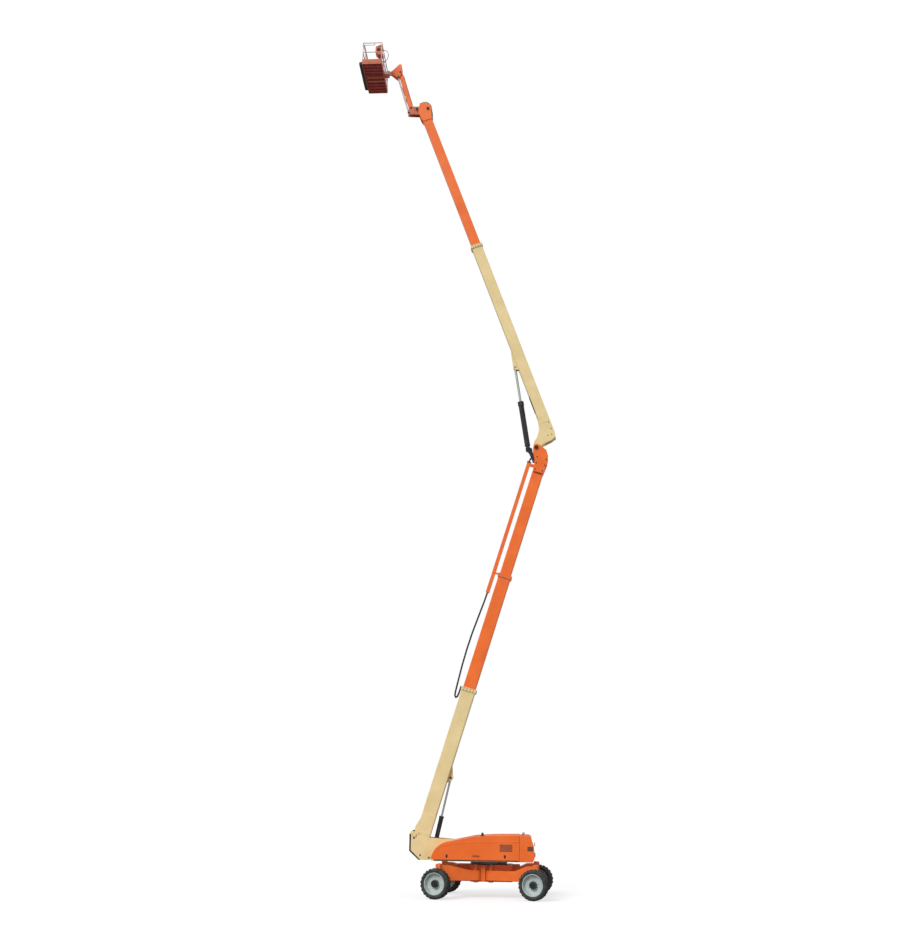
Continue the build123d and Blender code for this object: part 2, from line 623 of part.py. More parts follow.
# Main boom
knuckle_x, knuckle_z = at_frame(tower_frame, KNUCKLE_ALONG, KNUCKLE_RISE)
main_frame = boom_frame(knuckle_x, knuckle_z, MAIN_ANGLE, -1)


def main_base():
    shape = tube(400, MAIN_BASE_END, MAIN_WIDTH, MAIN_DEPTH, MAIN_WALL, MAIN_AXIS)
    shape += base_collar(MAIN_BASE_END, MAIN_WIDTH, MAIN_DEPTH, MAIN_WALL, MAIN_AXIS)
    half = MAIN_WIDTH / 2
    low = MAIN_AXIS - MAIN_DEPTH / 2
    heel = [(-60, -110), (-120, 40), (41, 213), (115, 781), (180, 930), (263, 990), (420, low + MAIN_DEPTH),
            (1500, low + MAIN_DEPTH), (1500, low), (1243, low), (950, 470), (686, 368), (450, 200), (289, 0),
            (120, -100)]
    cheek = plate(heel, half - 4, half + 22)
    cheek += disc(0, 0, 120, half - 4, half + 41)
    shape += mirror_y(cheek)
    shape += block(160, 404, -half, half, 560, 980) - block(200, 404, -half + 30, half - 30, 590, 950)
    shape -= disc(0, 0, KNUCKLE_PIN_RADIUS + PIN_GAP, -half - 50, half + 50)
    lug = [(3790, low + 5), (3825, MAIN_LUG_Z - 10), (3900, MAIN_LUG_Z - 80), (4030, MAIN_LUG_Z - 70),
           (4935, low + 5)]
    return shape + cylinder_ears(lug, MAIN_LUG_X, MAIN_LUG_Z, 90, 72, PLATE)


def main_fly():
    width = MAIN_WIDTH - MAIN_STEP
    depth = MAIN_DEPTH - MAIN_STEP
    start = MAIN_BASE_END - MAIN_OVERLAP
    shape = tube(start, MAIN_FLY_END, width, depth, MAIN_WALL, MAIN_AXIS)
    shape += tail_pads(start, width, depth, MAIN_WALL, MAIN_AXIS)
    half = width / 2
    end = MAIN_FLY_END
    head = [(end - 200, 564), (end - 50, 495), (end + 350, 490), (end + 640, 585), (end + 740, 700),
            (end + 755, 930), (end + 650, 1090), (end + 432, 1161), (end + 140, 1085), (end - 200, 995)]
    cheek = plate(head, half - 2, half + 28) + disc(HEAD_ALONG, HEAD_RISE, 80, half + 28, half + 40)
    shape += mirror_y(cheek)
    return shape + disc(HEAD_ALONG, HEAD_RISE, 45, -half, half)


keep("main_base", main_frame.location * main_base())
keep("main_fly", main_frame.location * main_fly())

main_foot = at_frame(tower_frame, MAIN_CYL_ALONG, MAIN_CYL_RISE)
main_eye = at_frame(main_frame, MAIN_LUG_X, MAIN_LUG_Z)
main_cyl, main_reach = cylinder_frame(main_foot, main_eye)
main_barrel = barrel(MAIN_BARREL_LENGTH, MAIN_BARREL_RADIUS, 95, 82, MAIN_ROD_RADIUS, 16, 180)
main_barrel -= disc(0, 0, 50 + PIN_GAP, -83, 83)
keep("main_cylinder_barrel", main_cyl.location * main_barrel)
main_rod = rod(MAIN_BARREL_LENGTH - 300, main_reach, MAIN_ROD_RADIUS, 70, 62)
keep("main_cylinder_rod", main_cyl.location * main_rod)

# Jib: an arm and a parallel link between the levelled bracket and the platform's head
head_x, head_z = at_frame(main_frame, HEAD_ALONG, HEAD_RISE)
bracket_frame = Plane(origin=(head_x, 0, head_z), x_dir=(1, 0, 0), z_dir=(0, 0, 1))
JIB_TIP_X = JIB_PIN_X + JIB_LENGTH * math.cos(rad(JIB_ANGLE))
JIB_TIP_Z = JIB_PIN_Z + JIB_LENGTH * math.sin(rad(JIB_ANGLE))
jib_frame = Plane(origin=(head_x + JIB_PIN_X, 0, head_z + JIB_PIN_Z),
                  x_dir=(math.cos(rad(JIB_ANGLE)), 0, math.sin(rad(JIB_ANGLE))),
                  z_dir=(math.sin(rad(JIB_ANGLE)), 0, -math.cos(rad(JIB_ANGLE))))


def jib_bracket():
    """Two plates that hang the jib from the main boom's head, with stub pins for arm and link."""
    inner = JIB_WIDTH / 2 + LINK_PLATE + 2 * JIB_SIDE_GAP
    outer = inner + BRACKET_PLATE
    outline = [(60, 95), (-480, 160), (JIB_PIN_X + 50, JIB_PIN_Z + 90), (JIB_PIN_X - 80, JIB_PIN_Z + 50),
               (JIB_PIN_X + LINK_X - 75, JIB_PIN_Z + LINK_Z),
               (JIB_PIN_X + LINK_X - 30, JIB_PIN_Z + LINK_Z - 80),
               (-640, -260), (-450, -270), (-330, -190), (40, -90)]
    side = plate(outline, inner, outer)
    side += disc(0, 0, 95, inner, (MAIN_WIDTH - MAIN_STEP) / 2 - RUN_GAP)
    side += disc(BOSS_X, BOSS_Z, BOSS_RADIUS, inner, outer + 25)
    side += disc(JIB_PIN_X, JIB_PIN_Z, JIB_PIN_RADIUS, JIB_WIDTH / 2 - 14, inner)
    side += disc(JIB_PIN_X + LINK_X, JIB_PIN_Z + LINK_Z, JIB_PIN_RADIUS, JIB_WIDTH / 2 + 4, inner)
    side += disc(JIB_PIN_X + JIB_CYL_X, JIB_PIN_Z + JIB_CYL_Z, 60, 45, inner)
    shape = mirror_y(side)
    shape += block(-420, -320, -inner, inner, -180, 100)
    shape += disc(JIB_PIN_X + JIB_CYL_X, JIB_PIN_Z + JIB_CYL_Z, 22, -50, 50)
    return shape - disc(0, 0, 45 + PIN_GAP, -200, 200)


def jib_arm():
    """A hollow arm, open below at its root where the jib's cylinder passes through."""
    half = JIB_WIDTH / 2
    shape = tube(90, JIB_LENGTH - 90, JIB_WIDTH, JIB_DEPTH, JIB_WALL, 0)
    shape -= block(80, 1060, -half + 15, half - 15, -JIB_DEPTH, 0)
    cheek = capsule((0, 0), (220, 0), 75, JIB_DEPTH / 2, half - 14, half)
    shape += mirror_y(cheek)
    shape += block(JIB_LENGTH - 200, JIB_LENGTH, -half, half, -75, 75) + disc(JIB_LENGTH, 0, 75, -half, half)
    ear = plate([(1080, -90), (1160, -165), (1240, -165), (1340, -90)], 36, 50)
    shape += mirror_y(ear)
    shape -= disc(0, 0, JIB_PIN_RADIUS + PIN_GAP, -JIB_WIDTH, JIB_WIDTH)
    return shape - disc(JIB_LENGTH, 0, JIB_PIN_RADIUS + PIN_GAP, -JIB_WIDTH, JIB_WIDTH)


def jib_link():
    """Two flat bars, one each side of the arm, between the bracket and the head."""
    inner = JIB_WIDTH / 2 + JIB_SIDE_GAP
    bar_side = capsule((0, 0), (JIB_LENGTH, 0), LINK_DEPTH / 2, LINK_DEPTH / 2, inner, inner + LINK_PLATE)
    for x in (0, JIB_LENGTH):
        bar_side -= disc(x, 0, JIB_PIN_RADIUS + PIN_GAP, inner - 1, inner + LINK_PLATE + 1)
    return mirror_y(bar_side)


link_frame = Plane(origin=(head_x + JIB_PIN_X + LINK_X, 0, head_z + JIB_PIN_Z + LINK_Z),
                   x_dir=jib_frame.x_dir, z_dir=jib_frame.z_dir)
tip_x = head_x + JIB_TIP_X
tip_z = head_z + JIB_TIP_Z


def platform_head():
    """The plates at the jib's tip, up to the rotator."""
    inner = JIB_WIDTH / 2 + LINK_PLATE + 2 * JIB_SIDE_GAP
    outline = [(60, 400), (0, 450), (-60, 440), (-390, 90), (-400, -90), (-330, -160),
               (LINK_X - 60, LINK_Z - 50), (LINK_X + 40, LINK_Z - 50), (75, -60), (85, 200)]
    side = plate(outline, inner, inner + BRACKET_PLATE)
    side += disc(0, 0, JIB_PIN_RADIUS, JIB_WIDTH / 2 - 14, inner)
    side += disc(LINK_X, LINK_Z, JIB_PIN_RADIUS, JIB_WIDTH / 2 + 4, inner)
    shape = mirror_y(side)
    shape += block(-420, -330, -inner, inner, -100, 80)
    return shape + block(-430, -420, -inner - BRACKET_PLATE, inner + BRACKET_PLATE, -100, 100)


rotator_x = tip_x + ROTATOR_X
FLOOR_Z = tip_z - FLOOR_DROP
GLAND_Z = FLOOR_Z + GLAND_HEIGHT
platform_in = rotator_x - PLATFORM_GAP
platform_out = platform_in - PLATFORM_DEPTH


def rotator():
    """The housing of the platform's rotator, on the head."""
    shape = upright(0, ROTATOR_RADIUS, -ROTATOR_HALF, ROTATOR_HALF)
    return shape + block(ROTATOR_RADIUS - 40, -430 - ROTATOR_X, -70, 70, -80, 80)


keep("jib_bracket", bracket_frame.location * jib_bracket())
keep("jib_arm", jib_frame.location * jib_arm())
keep("jib_link", link_frame.location * jib_link())
keep("platform_head", Pos(tip_x, 0, tip_z) * platform_head())
keep("rotator", Pos(rotator_x, 0, tip_z) * rotator())

jib_foot = (head_x + JIB_PIN_X + JIB_CYL_X, head_z + JIB_PIN_Z + JIB_CYL_Z)
jib_eye = at_frame(jib_frame, JIB_LUG_X, JIB_LUG_Z)
jib_cyl, jib_reach = cylinder_frame(jib_foot, jib_eye)
jib_barrel = barrel(JIB_BARREL_LENGTH, JIB_BARREL_RADIUS, 36, 28, JIB_ROD_RADIUS, 0, 70)
jib_barrel -= disc(0, 0, 22 + PIN_GAP, -30, 30)
keep("jib_cylinder_barrel", jib_cyl.location * jib_barrel)
keep("jib_cylinder_rod", jib_cyl.location * rod(JIB_BARREL_LENGTH - 120, jib_reach, JIB_ROD_RADIUS, 30, 28))


# The platform's hose, chosen by hand. Columns: distance from the platform's side, Y, height
# above the floor.
HOSE_STAND = 22
PLATFORM_HOSE = [(HOSE_STAND, GLAND_Y, GLAND_HEIGHT), (130, GLAND_Y, GLAND_HEIGHT), (228, -1028, 706),
                 (285, -1042, 590), (300, -1052, 450), (278, -1050, 310), (215, -1036, 182),
                 (128, -1018, 115), (HOSE_STAND, -1018, 115)]


def bar(a, b, radius=RAIL_RADIUS):
    """One straight round rail from a to b."""
    direction = Vector(*b) - Vector(*a)
    upward = (Align.CENTER, Align.CENTER, Align.MIN)
    return Plane(origin=a, z_dir=direction).location * Cylinder(radius, direction.length, align=upward)


RAIL_X0 = platform_out + RAIL_RADIUS
RAIL_X1 = platform_in - RAIL_RADIUS
RAIL_Y = PLATFORM_WIDTH / 2 - RAIL_RADIUS
RAIL_TOP = FLOOR_Z + RAIL_HEIGHT - RAIL_RADIUS
RAIL_MID = FLOOR_Z + MID_RAIL_HEIGHT
GATE_X = RAIL_X1 - GATE_OFFSET


def platform_frame():
    """The floor's rim, the posts and the rails, with the gate's way in left open at the far end."""
    half = PLATFORM_WIDTH / 2
    rim = block(platform_out, platform_in, -half, half, FLOOR_Z - RIM_DROP, FLOOR_Z + TOE_HEIGHT)
    rim -= block(platform_out + RIM_PLATE, platform_in - RIM_PLATE, -half + RIM_PLATE, half - RIM_PLATE,
                 FLOOR_Z - RIM_DROP - 1, FLOOR_Z + TOE_HEIGHT + 1)
    shape = rim
    for z in (RAIL_TOP, RAIL_MID):
        shape += bar((RAIL_X0, -RAIL_Y, z), (RAIL_X0, RAIL_Y, z))
        shape += bar((RAIL_X1, -RAIL_Y, z), (RAIL_X1, RAIL_Y, z))
        shape += bar((RAIL_X0, -RAIL_Y, z), (RAIL_X1, -RAIL_Y, z), RAIL_RADIUS - 1)
    for x in (RAIL_X0, RAIL_X1):
        for y in (-RAIL_Y, -RAIL_Y / 3, RAIL_Y / 3, RAIL_Y):
            shape += bar((x, y, FLOOR_Z + TOE_HEIGHT - 40), (x, y, RAIL_TOP), POST_RADIUS)
        for y in (-RAIL_Y, RAIL_Y):
            shape += Pos(x, y, RAIL_TOP) * Sphere(RAIL_RADIUS + 1)
    for z in (RAIL_MID - 160, RAIL_TOP - 160):
        eye = block(GATE_X, RAIL_X1, RAIL_Y - 15, RAIL_Y + 15, z, z + 40)
        eye += Pos(GATE_X, RAIL_Y, z + 20) * Cylinder(POST_RADIUS + 12, 40)
        shape += eye - Pos(GATE_X, RAIL_Y, z + 20) * Cylinder(POST_RADIUS + PIN_GAP, 41)
    end_y, end_height = PLATFORM_HOSE[-1][1:]
    shape += Pos(platform_in, end_y, FLOOR_Z + end_height) * Rot(0, 90, 0) * Cylinder(22, 2 * HOSE_STAND)
    low = tip_z - ROTATOR_HALF - 24
    shape += block(platform_in - 5, rotator_x + 60, -150, 150, low, tip_z - ROTATOR_HALF - PIN_GAP)
    return shape + block(platform_in - 5, platform_in + 12, -150, 150, low, tip_z + 200)


def platform_gate():
    """The gate at the far end. Its own post turns in the two rings of the frame."""
    x0 = RAIL_X0 + 2 * RAIL_RADIUS + 12
    low = FLOOR_Z + TOE_HEIGHT + 60
    shape = Part()
    for z in (RAIL_TOP, RAIL_MID):
        shape += bar((x0, RAIL_Y, z), (GATE_X, RAIL_Y, z))
    for x in (x0, GATE_X):
        shape += bar((x, RAIL_Y, low), (x, RAIL_Y, RAIL_TOP), POST_RADIUS)
        shape += Pos(x, RAIL_Y, RAIL_TOP) * Sphere(RAIL_RADIUS + 1)
    return shape


def platform_floor():
    """The floor plate with the ribs under it."""
    clear = RIM_PLATE + PIN_GAP
    half = PLATFORM_WIDTH / 2 - clear
    shape = block(platform_out + clear, platform_in - clear, -half, half, FLOOR_Z - FLOOR_PLATE, FLOOR_Z)
    for y in range(-1000, 1001, 250):
        shape += block(platform_out + clear, platform_in - clear, y - 20, y + 20,
                       FLOOR_Z - RIM_DROP + 20, FLOOR_Z)
    return shape


def control_console():
    """The control box on the boom's side of the platform, with its raised panel."""
    x1 = RAIL_X1 - RAIL_RADIUS - PIN_GAP
    outline = [(x1, RAIL_TOP - 30), (x1 - 90, RAIL_TOP - 10), (x1 - 300, RAIL_TOP - 170),
               (x1 - 300, RAIL_TOP - 420), (x1 - 160, RAIL_TOP - 560), (x1, RAIL_TOP - 560)]
    gland = bar((x1 - 10, GLAND_Y, GLAND_Z), (platform_in + HOSE_STAND, GLAND_Y, GLAND_Z), 22)
    return plate(outline, CONSOLE_Y - CONSOLE_HALF, CONSOLE_Y + CONSOLE_HALF) + gland


def front_panel():
    """A dark padded panel that hangs outside the front of the platform's rim."""
    x = platform_out - PIN_GAP
    outline = [(x, FLOOR_Z + 90), (x - PANEL_REACH, FLOOR_Z + 60), (x - PANEL_REACH, FLOOR_Z - 60),
               (x, FLOOR_Z - 90)]
    return plate(outline, -1120, 980)


keep("platform_frame", platform_frame())
keep("platform_gate", platform_gate())
keep("platform_floor", platform_floor())
keep("control_console", control_console())
keep("front_panel", front_panel())

def hose(points, radius):
    """A round hose through points, as straight runs joined by tangent arcs."""
    vectors = [Vector(*p) for p in points]
    radii = []
    for before, here, after in zip(vectors, vectors[1:], vectors[2:]):
        turn = (here - before).get_angle(after - here)
        shorter = min((here - before).length, (after - here).length)
        radii.append(0.45 * shorter / math.tan(rad(turn) / 2))
    print("hose radii", [round(r) for r in radii])
    path = FilletPolyline(*points, radius=radii)
    start = Plane(origin=points[0], z_dir=vectors[1] - vectors[0])
    return sweep(start * Circle(radius), path=path)


platform_hose_points = [(platform_in + x, y, FLOOR_Z + height) for x, y, height in PLATFORM_HOSE]
keep("platform_hose", hose(platform_hose_points, PLATFORM_HOSE_RADIUS))

os.makedirs("parts", exist_ok=True)
for name, shape in nodes.items():
    export_step(shape, "parts/" + name + ".step")
    box = shape.bounding_box()
    spans = (box.min.X, box.max.X, box.min.Y, box.max.Y, box.min.Z, box.max.Z)
    print(name, len(shape.solids()), [round(v) for v in spans])
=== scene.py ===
import json
import math

import bmesh
import bpy
from mathutils import Matrix, Vector


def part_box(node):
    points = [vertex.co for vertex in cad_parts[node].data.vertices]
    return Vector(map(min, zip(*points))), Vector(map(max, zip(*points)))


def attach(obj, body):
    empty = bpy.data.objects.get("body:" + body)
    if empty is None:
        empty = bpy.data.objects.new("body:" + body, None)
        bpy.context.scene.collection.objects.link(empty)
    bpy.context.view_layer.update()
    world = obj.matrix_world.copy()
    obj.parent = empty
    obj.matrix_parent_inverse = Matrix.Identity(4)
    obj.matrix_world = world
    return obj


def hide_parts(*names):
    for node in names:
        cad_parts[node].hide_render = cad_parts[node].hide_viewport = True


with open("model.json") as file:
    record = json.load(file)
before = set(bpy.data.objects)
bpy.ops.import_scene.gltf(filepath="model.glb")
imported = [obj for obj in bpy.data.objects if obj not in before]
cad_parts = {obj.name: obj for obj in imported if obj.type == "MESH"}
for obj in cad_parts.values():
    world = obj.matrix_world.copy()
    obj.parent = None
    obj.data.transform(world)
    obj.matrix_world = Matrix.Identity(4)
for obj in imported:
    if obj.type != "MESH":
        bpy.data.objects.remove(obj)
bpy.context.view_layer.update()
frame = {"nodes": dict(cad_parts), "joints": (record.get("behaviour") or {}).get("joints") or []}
joints = {joint["name"]: joint for joint in frame["joints"]}
nodes = frame["nodes"]

# The studio: a pale floor that the machine stands on and a white room round it.
# One broad lamp stands for an open sky in front and above, and the room fills the shadows.
FLOOR_HALF = 400.0
FLOOR_TONE = 0.34
WHITE_FILL = 0.66
ROOM_LIGHT = 0.62
LAMP_POWER = 2.3
LAMP_SPREAD = 24.0
LAMP_FROM = Vector((-0.42, -0.66, 0.62))


def fill(node, inputs):
    """Set a shader node's inputs by name."""
    for name, value in inputs.items():
        node.inputs[name].default_value = value
    return node


def add_node(tree, kind, inputs={}):
    return fill(tree.nodes.new("ShaderNode" + kind), inputs)


def add_object(name, data):
    made = bpy.data.objects.new(name, data)
    bpy.context.scene.collection.objects.link(made)
    return made


def seen_directly(tree):
    """1 for what the camera sees, straight or through glass, and 0 for other light."""
    path = add_node(tree, "LightPath")
    through = tree.nodes.new("ShaderNodeMath")
    through.operation = "MAXIMUM"
    tree.links.new(path.outputs["Is Camera Ray"], through.inputs[0])
    tree.links.new(path.outputs["Is Transmission Ray"], through.inputs[1])
    return through.outputs[0]


def pale_floor():
    stuff = bpy.data.materials.new("studio_floor")
    stuff.use_nodes = True
    tree = stuff.node_tree
    link = tree.links.new
    tone = (FLOOR_TONE, FLOOR_TONE, FLOOR_TONE, 1)
    shader = fill(tree.nodes["Principled BSDF"],
                  {"Base Color": tone, "Roughness": 0.9, "Specular IOR Level": 0.0})
    glow = add_node(tree, "Emission", {"Color": (1, 1, 1, 1)})
    strength = tree.nodes.new("ShaderNodeMath")
    strength.operation = "MULTIPLY"
    strength.inputs[1].default_value = WHITE_FILL
    link(seen_directly(tree), strength.inputs[0])
    link(strength.outputs[0], glow.inputs["Strength"])
    total = add_node(tree, "AddShader")
    link(shader.outputs[0], total.inputs[0])
    link(glow.outputs[0], total.inputs[1])
    link(total.outputs[0], tree.nodes["Material Output"].inputs["Surface"])
    mesh = bpy.data.meshes.new("studio_floor")
    half = FLOOR_HALF
    corners = [(-half, -half, 0), (half, -half, 0), (half, half, 0), (-half, half, 0)]
    mesh.from_pydata(corners, [], [(0, 1, 2, 3)])
    mesh.materials.append(stuff)
    add_object("studio_floor", mesh)


def white_room():
    world = bpy.data.worlds.new("white_room")
    world.use_nodes = True
    bpy.context.scene.world = world
    tree = world.node_tree
    sky = fill(tree.nodes["Background"], {"Color": (1, 1, 1, 1)})
    light = add_node(tree, "MapRange", {"To Min": ROOM_LIGHT, "To Max": 1.0})
    tree.links.new(seen_directly(tree), light.inputs["Value"])
    tree.links.new(light.outputs["Result"], sky.inputs["Strength"])


def broad_lamp():
    sun = bpy.data.lights.new("broad_lamp", "SUN")
    sun.energy = LAMP_POWER
    sun.angle = math.radians(LAMP_SPREAD)
    lamp = add_object("broad_lamp", sun)
    lamp.rotation_euler = LAMP_FROM.to_track_quat("Z", "Y").to_euler()


pale_floor()
white_room()
broad_lamp()
bpy.context.scene.view_settings.view_transform = "Standard"

# The camera stands about 49 m off on the near side, 3.9 m over the floor, and looks up.
# Its place, aim and lens show the whole machine.
CAMERA_AT = Vector((3.414, -48.616, 3.890))
CAMERA_AIM = Vector((-0.0628, 0.9594, 0.2749))
CAMERA_ROLL = 0.0112836
CAMERA_LENS = 43.69
CAMERA_REACH = 900.0


def place_camera():
    data = bpy.data.cameras.new("camera")
    data.lens = CAMERA_LENS
    data.clip_end = CAMERA_REACH
    camera = add_object("camera", data)
    turn = CAMERA_AIM.to_track_quat("-Z", "Y").to_matrix().to_4x4()
    camera.matrix_world = Matrix.Translation(CAMERA_AT) @ turn @ Matrix.Rotation(CAMERA_ROLL, 4, "Z")
    bpy.context.scene.camera = camera


place_camera()

# The tyres: solid-filled rubber, 1155 mm tall and 445 mm wide, with two rows of slanted bars.
# Each is moulded round a hoop, so its walls bulge a little past the rim's flanges.
RUBBER_DARK = (0.016, 0.019, 0.019)
RUBBER_LIGHT = (0.055, 0.062, 0.06)
TYRE_RADIUS = 0.5775
TYRE_HALF = 0.2225
BEAD_RADIUS = 0.4155
GROOVE_DEPTH = 0.026
TYRE_STEPS = 120
BARS = 22
BAR_SKEW = math.radians(13)
# A tread bar's stations. Columns: out from the middle, the top's drop, share of the skew.
BAR_STATIONS = ((0.006, 0.0, 0.0), (0.10, 0.0, 0.45), (0.178, 0.004, 0.9), (0.2195, 0.05, 1.0),
                (0.2215, 0.085, 1.0))
SHEEN = 0.32
CORNERS = ("front_near", "front_far", "rear_near", "rear_far")


def blend_tones(tree, where, scale, detail, dark, light):
    """A soft drift between two tones of one colour."""
    drift = add_node(tree, "TexNoise", {"Scale": scale, "Detail": detail, "Roughness": 0.62})
    tree.links.new(where, drift.inputs["Vector"])
    tone = add_node(tree, "ValToRGB")
    for stop, position, colour in zip(tone.color_ramp.elements, (0.32, 0.68), (dark, light)):
        stop.position = position
        stop.color = (*colour, 1)
    tree.links.new(drift.outputs["Fac"], tone.inputs["Fac"])
    return tone.outputs["Color"]


def surface(name, dark, light, roughness, cloud=1.4, grain=160.0, relief=0.06, spread=0.08, metallic=0.0,
            coat=0.0):
    """A finish whose colour drifts between two tones, with a finer grain in its gloss and relief."""
    stuff = bpy.data.materials.new(name)
    stuff.use_nodes = True
    tree = stuff.node_tree
    link = tree.links.new
    shader = fill(tree.nodes["Principled BSDF"], {"Metallic": metallic, "Coat Weight": coat,
                                                  "Coat Roughness": 0.12, "Specular IOR Level": SHEEN})
    where = add_node(tree, "TexCoord").outputs["Object"]
    link(blend_tones(tree, where, cloud, 5.0, dark, light), shader.inputs["Base Color"])
    fine = add_node(tree, "TexNoise", {"Scale": grain, "Detail": 3.0})
    link(where, fine.inputs["Vector"])
    gloss = add_node(tree, "MapRange", {"From Min": 0.3, "From Max": 0.7, "To Min": roughness - spread,
                                        "To Max": roughness + spread})
    link(fine.outputs["Fac"], gloss.inputs["Value"])
    link(gloss.outputs["Result"], shader.inputs["Roughness"])
    bump = add_node(tree, "Bump", {"Strength": relief, "Distance": 0.003})
    link(fine.outputs["Fac"], bump.inputs["Height"])
    link(bump.outputs["Normal"], shader.inputs["Normal"])
    return stuff


tyre_rubber = surface("tyre_rubber", RUBBER_DARK, RUBBER_LIGHT, 0.72, cloud=5.0, grain=240.0, relief=0.18)


def mount(name, data, stuff, body):
    """A new object with its finish, on its body."""
    data.materials.append(stuff)
    piece = add_object(name, data)
    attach(piece, body)
    return piece


def make_piece(name, shape, stuff, body):
    """A finished mesh as a piece of its own."""
    bmesh.ops.recalc_face_normals(shape, faces=shape.faces)
    mesh = bpy.data.meshes.new(name)
    shape.to_mesh(mesh)
    shape.free()
    return mount(name, mesh, stuff, body)


def skin(shape, rows, ends=True):
    """Faces between rows of points that each go round, and over both ends."""
    for row, after in zip(rows, rows[1:]):
        for j in range(len(row)):
            k = (j + 1) % len(row)
            shape.faces.new((row[j], row[k], after[k], after[j]))
    if ends:
        shape.faces.new(rows[0])
        shape.faces.new(rows[-1][::-1])


def spin_profile(shape, profile, steps, place):
    """Turn a profile of (along the axle, radius) once round the axle."""
    rings = []
    for i in range(steps):
        turn = place @ Matrix.Rotation(math.tau * i / steps, 4, "X")
        rings.append([shape.verts.new(turn @ Vector((x, radius, 0))) for x, radius in profile])
    skin(shape, rings + rings[:1], ends=False)


def pivot(joint):
    return Vector(joints[joint]["pos_m"])


def placed(at, along, across):
    """A place at a point, with its X and Y in two directions and Z square to both."""
    return Matrix.Translation(at) @ Matrix((along, across, along.cross(across))).transposed().to_4x4()


def wheel_place(corner):
    """X outwards along the axle, Z up, from the wheel's middle."""
    outward = Vector(joints["spin_" + corner]["axis"]).normalized()
    return placed(pivot("spin_" + corner), outward, Vector((0, 0, 1)).cross(outward))


def tread_bar(shape, place, side, start):
    """One bar, from beside the middle of the tread out over the shoulder."""
    rows = []
    for across, drop, turn in BAR_STATIONS:
        middle = start + side * BAR_SKEW * turn
        half_angle = 0.026 + 0.013 * across / TYRE_HALF
        top = TYRE_RADIUS - 0.001 - drop
        foot = top - GROOVE_DEPTH - 0.004
        corners = ((middle - half_angle * 1.25, foot), (middle - half_angle, top),
                   (middle + half_angle, top), (middle + half_angle * 1.25, foot))
        inset = 0.0 if drop < 0.02 else 0.006
        row = []
        for angle, radius in corners:
            x = side * (across - (inset if radius == foot else 0.0))
            spot = Vector((x, radius * math.sin(angle), radius * math.cos(angle)))
            row.append(shape.verts.new(place @ spot))
        rows.append(row)
    skin(shape, rows)


def tyre(corner):
    place = wheel_place(corner)
    shape = bmesh.new()
    base = TYRE_RADIUS - GROOVE_DEPTH
    wall = TYRE_HALF - 0.006
    right = [(0.178, BEAD_RADIUS), (0.190, BEAD_RADIUS + 0.012), (wall - 0.004, BEAD_RADIUS + 0.045),
             (wall, BEAD_RADIUS + 0.052), (wall, BEAD_RADIUS + 0.062), (wall - 0.004, BEAD_RADIUS + 0.068),
             (wall, base - 0.055), (wall - 0.006, base - 0.03), (wall - 0.03, base - 0.006), (0.1, base)]
    profile = right + [(-x, r) for x, r in reversed(right)]
    spin_profile(shape, profile, TYRE_STEPS, place)
    for i in range(BARS):
        for side in (-1, 1):
            tread_bar(shape, place, side, math.tau * (i + 0.25 * side) / BARS)
    piece = make_piece("tyre_tread_" + corner, shape, tyre_rubber, "wheel_" + corner)
    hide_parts("tyre_" + corner)


for corner in CORNERS:
    tyre(corner)

# The rims and hubs: pressed steel dishes in light grey, bolted to black drive hubs.
# Ten wheel nuts hold each rim, and twelve screws hold the cover of each hub.
RIM_DARK = (0.36, 0.42, 0.41)
RIM_LIGHT = (0.50, 0.57, 0.55)
BLACK_DARK = (0.008, 0.009, 0.010)
BLACK_LIGHT = (0.022, 0.024, 0.026)
STEEL_DARK = (0.16, 0.16, 0.155)
STEEL_LIGHT = (0.36, 0.36, 0.34)
# Columns: how many, the circle's radius, the face along the axle, across the flats, height.
WHEEL_NUTS = (10, 0.182, 0.020, 0.033, 0.026)
COVER_SCREWS = (12, 0.118, 0.150, 0.017, 0.010)

rim_paint = surface("rim_paint", RIM_DARK, RIM_LIGHT, 0.38, cloud=6.0, coat=0.2)
black_paint = surface("black_paint", BLACK_DARK, BLACK_LIGHT, 0.34, cloud=3.0, coat=0.3)
bare_steel = surface("bare_steel", STEEL_DARK, STEEL_LIGHT, 0.42, cloud=30.0, metallic=0.8)


def dress(stuff, *solids):
    """Give solids their finish."""
    for name in solids:
        mesh = nodes[name].data
        mesh.materials.clear()
        mesh.materials.append(stuff)


def hex_head(shape, at, direction, across, height):
    """A bolt head or nut with a washer, standing on a face."""
    turn = Vector(direction).to_track_quat("Z", "Y").to_matrix().to_4x4()
    spot = Matrix.Translation(at) @ turn
    radius = across / math.sqrt(3)
    washer, edge = radius * 1.5, height * 0.2
    for sides, foot, top, low, high in ((20, washer, washer, 0.0, edge),
                                        (6, radius, radius * 0.94, edge, height)):
        middle = spot @ Matrix.Translation((0, 0, (low + high) / 2))
        bmesh.ops.create_cone(shape, cap_ends=True, segments=sides, radius1=foot, radius2=top,
                              depth=high - low, matrix=middle)


def ring_of_heads(shape, place, count, circle, face, across, height):
    """Bolt heads round an axle, all facing outwards."""
    outward = (place.to_3x3() @ Vector((1, 0, 0))).normalized()
    for i in range(count):
        angle = math.tau * (i + 0.5) / count
        spot = place @ Vector((face, circle * math.cos(angle), circle * math.sin(angle)))
        hex_head(shape, spot, outward, across, height)


for corner in CORNERS:
    dress(rim_paint, "wheel_rim_" + corner)
    dress(black_paint, "drive_hub_" + corner)
    fixings = bmesh.new()
    ring_of_heads(fixings, wheel_place(corner), *WHEEL_NUTS)
    ring_of_heads(fixings, wheel_place(corner), *COVER_SCREWS)
    make_piece("wheel_nuts_" + corner, fixings, rim_paint, "wheel_" + corner)

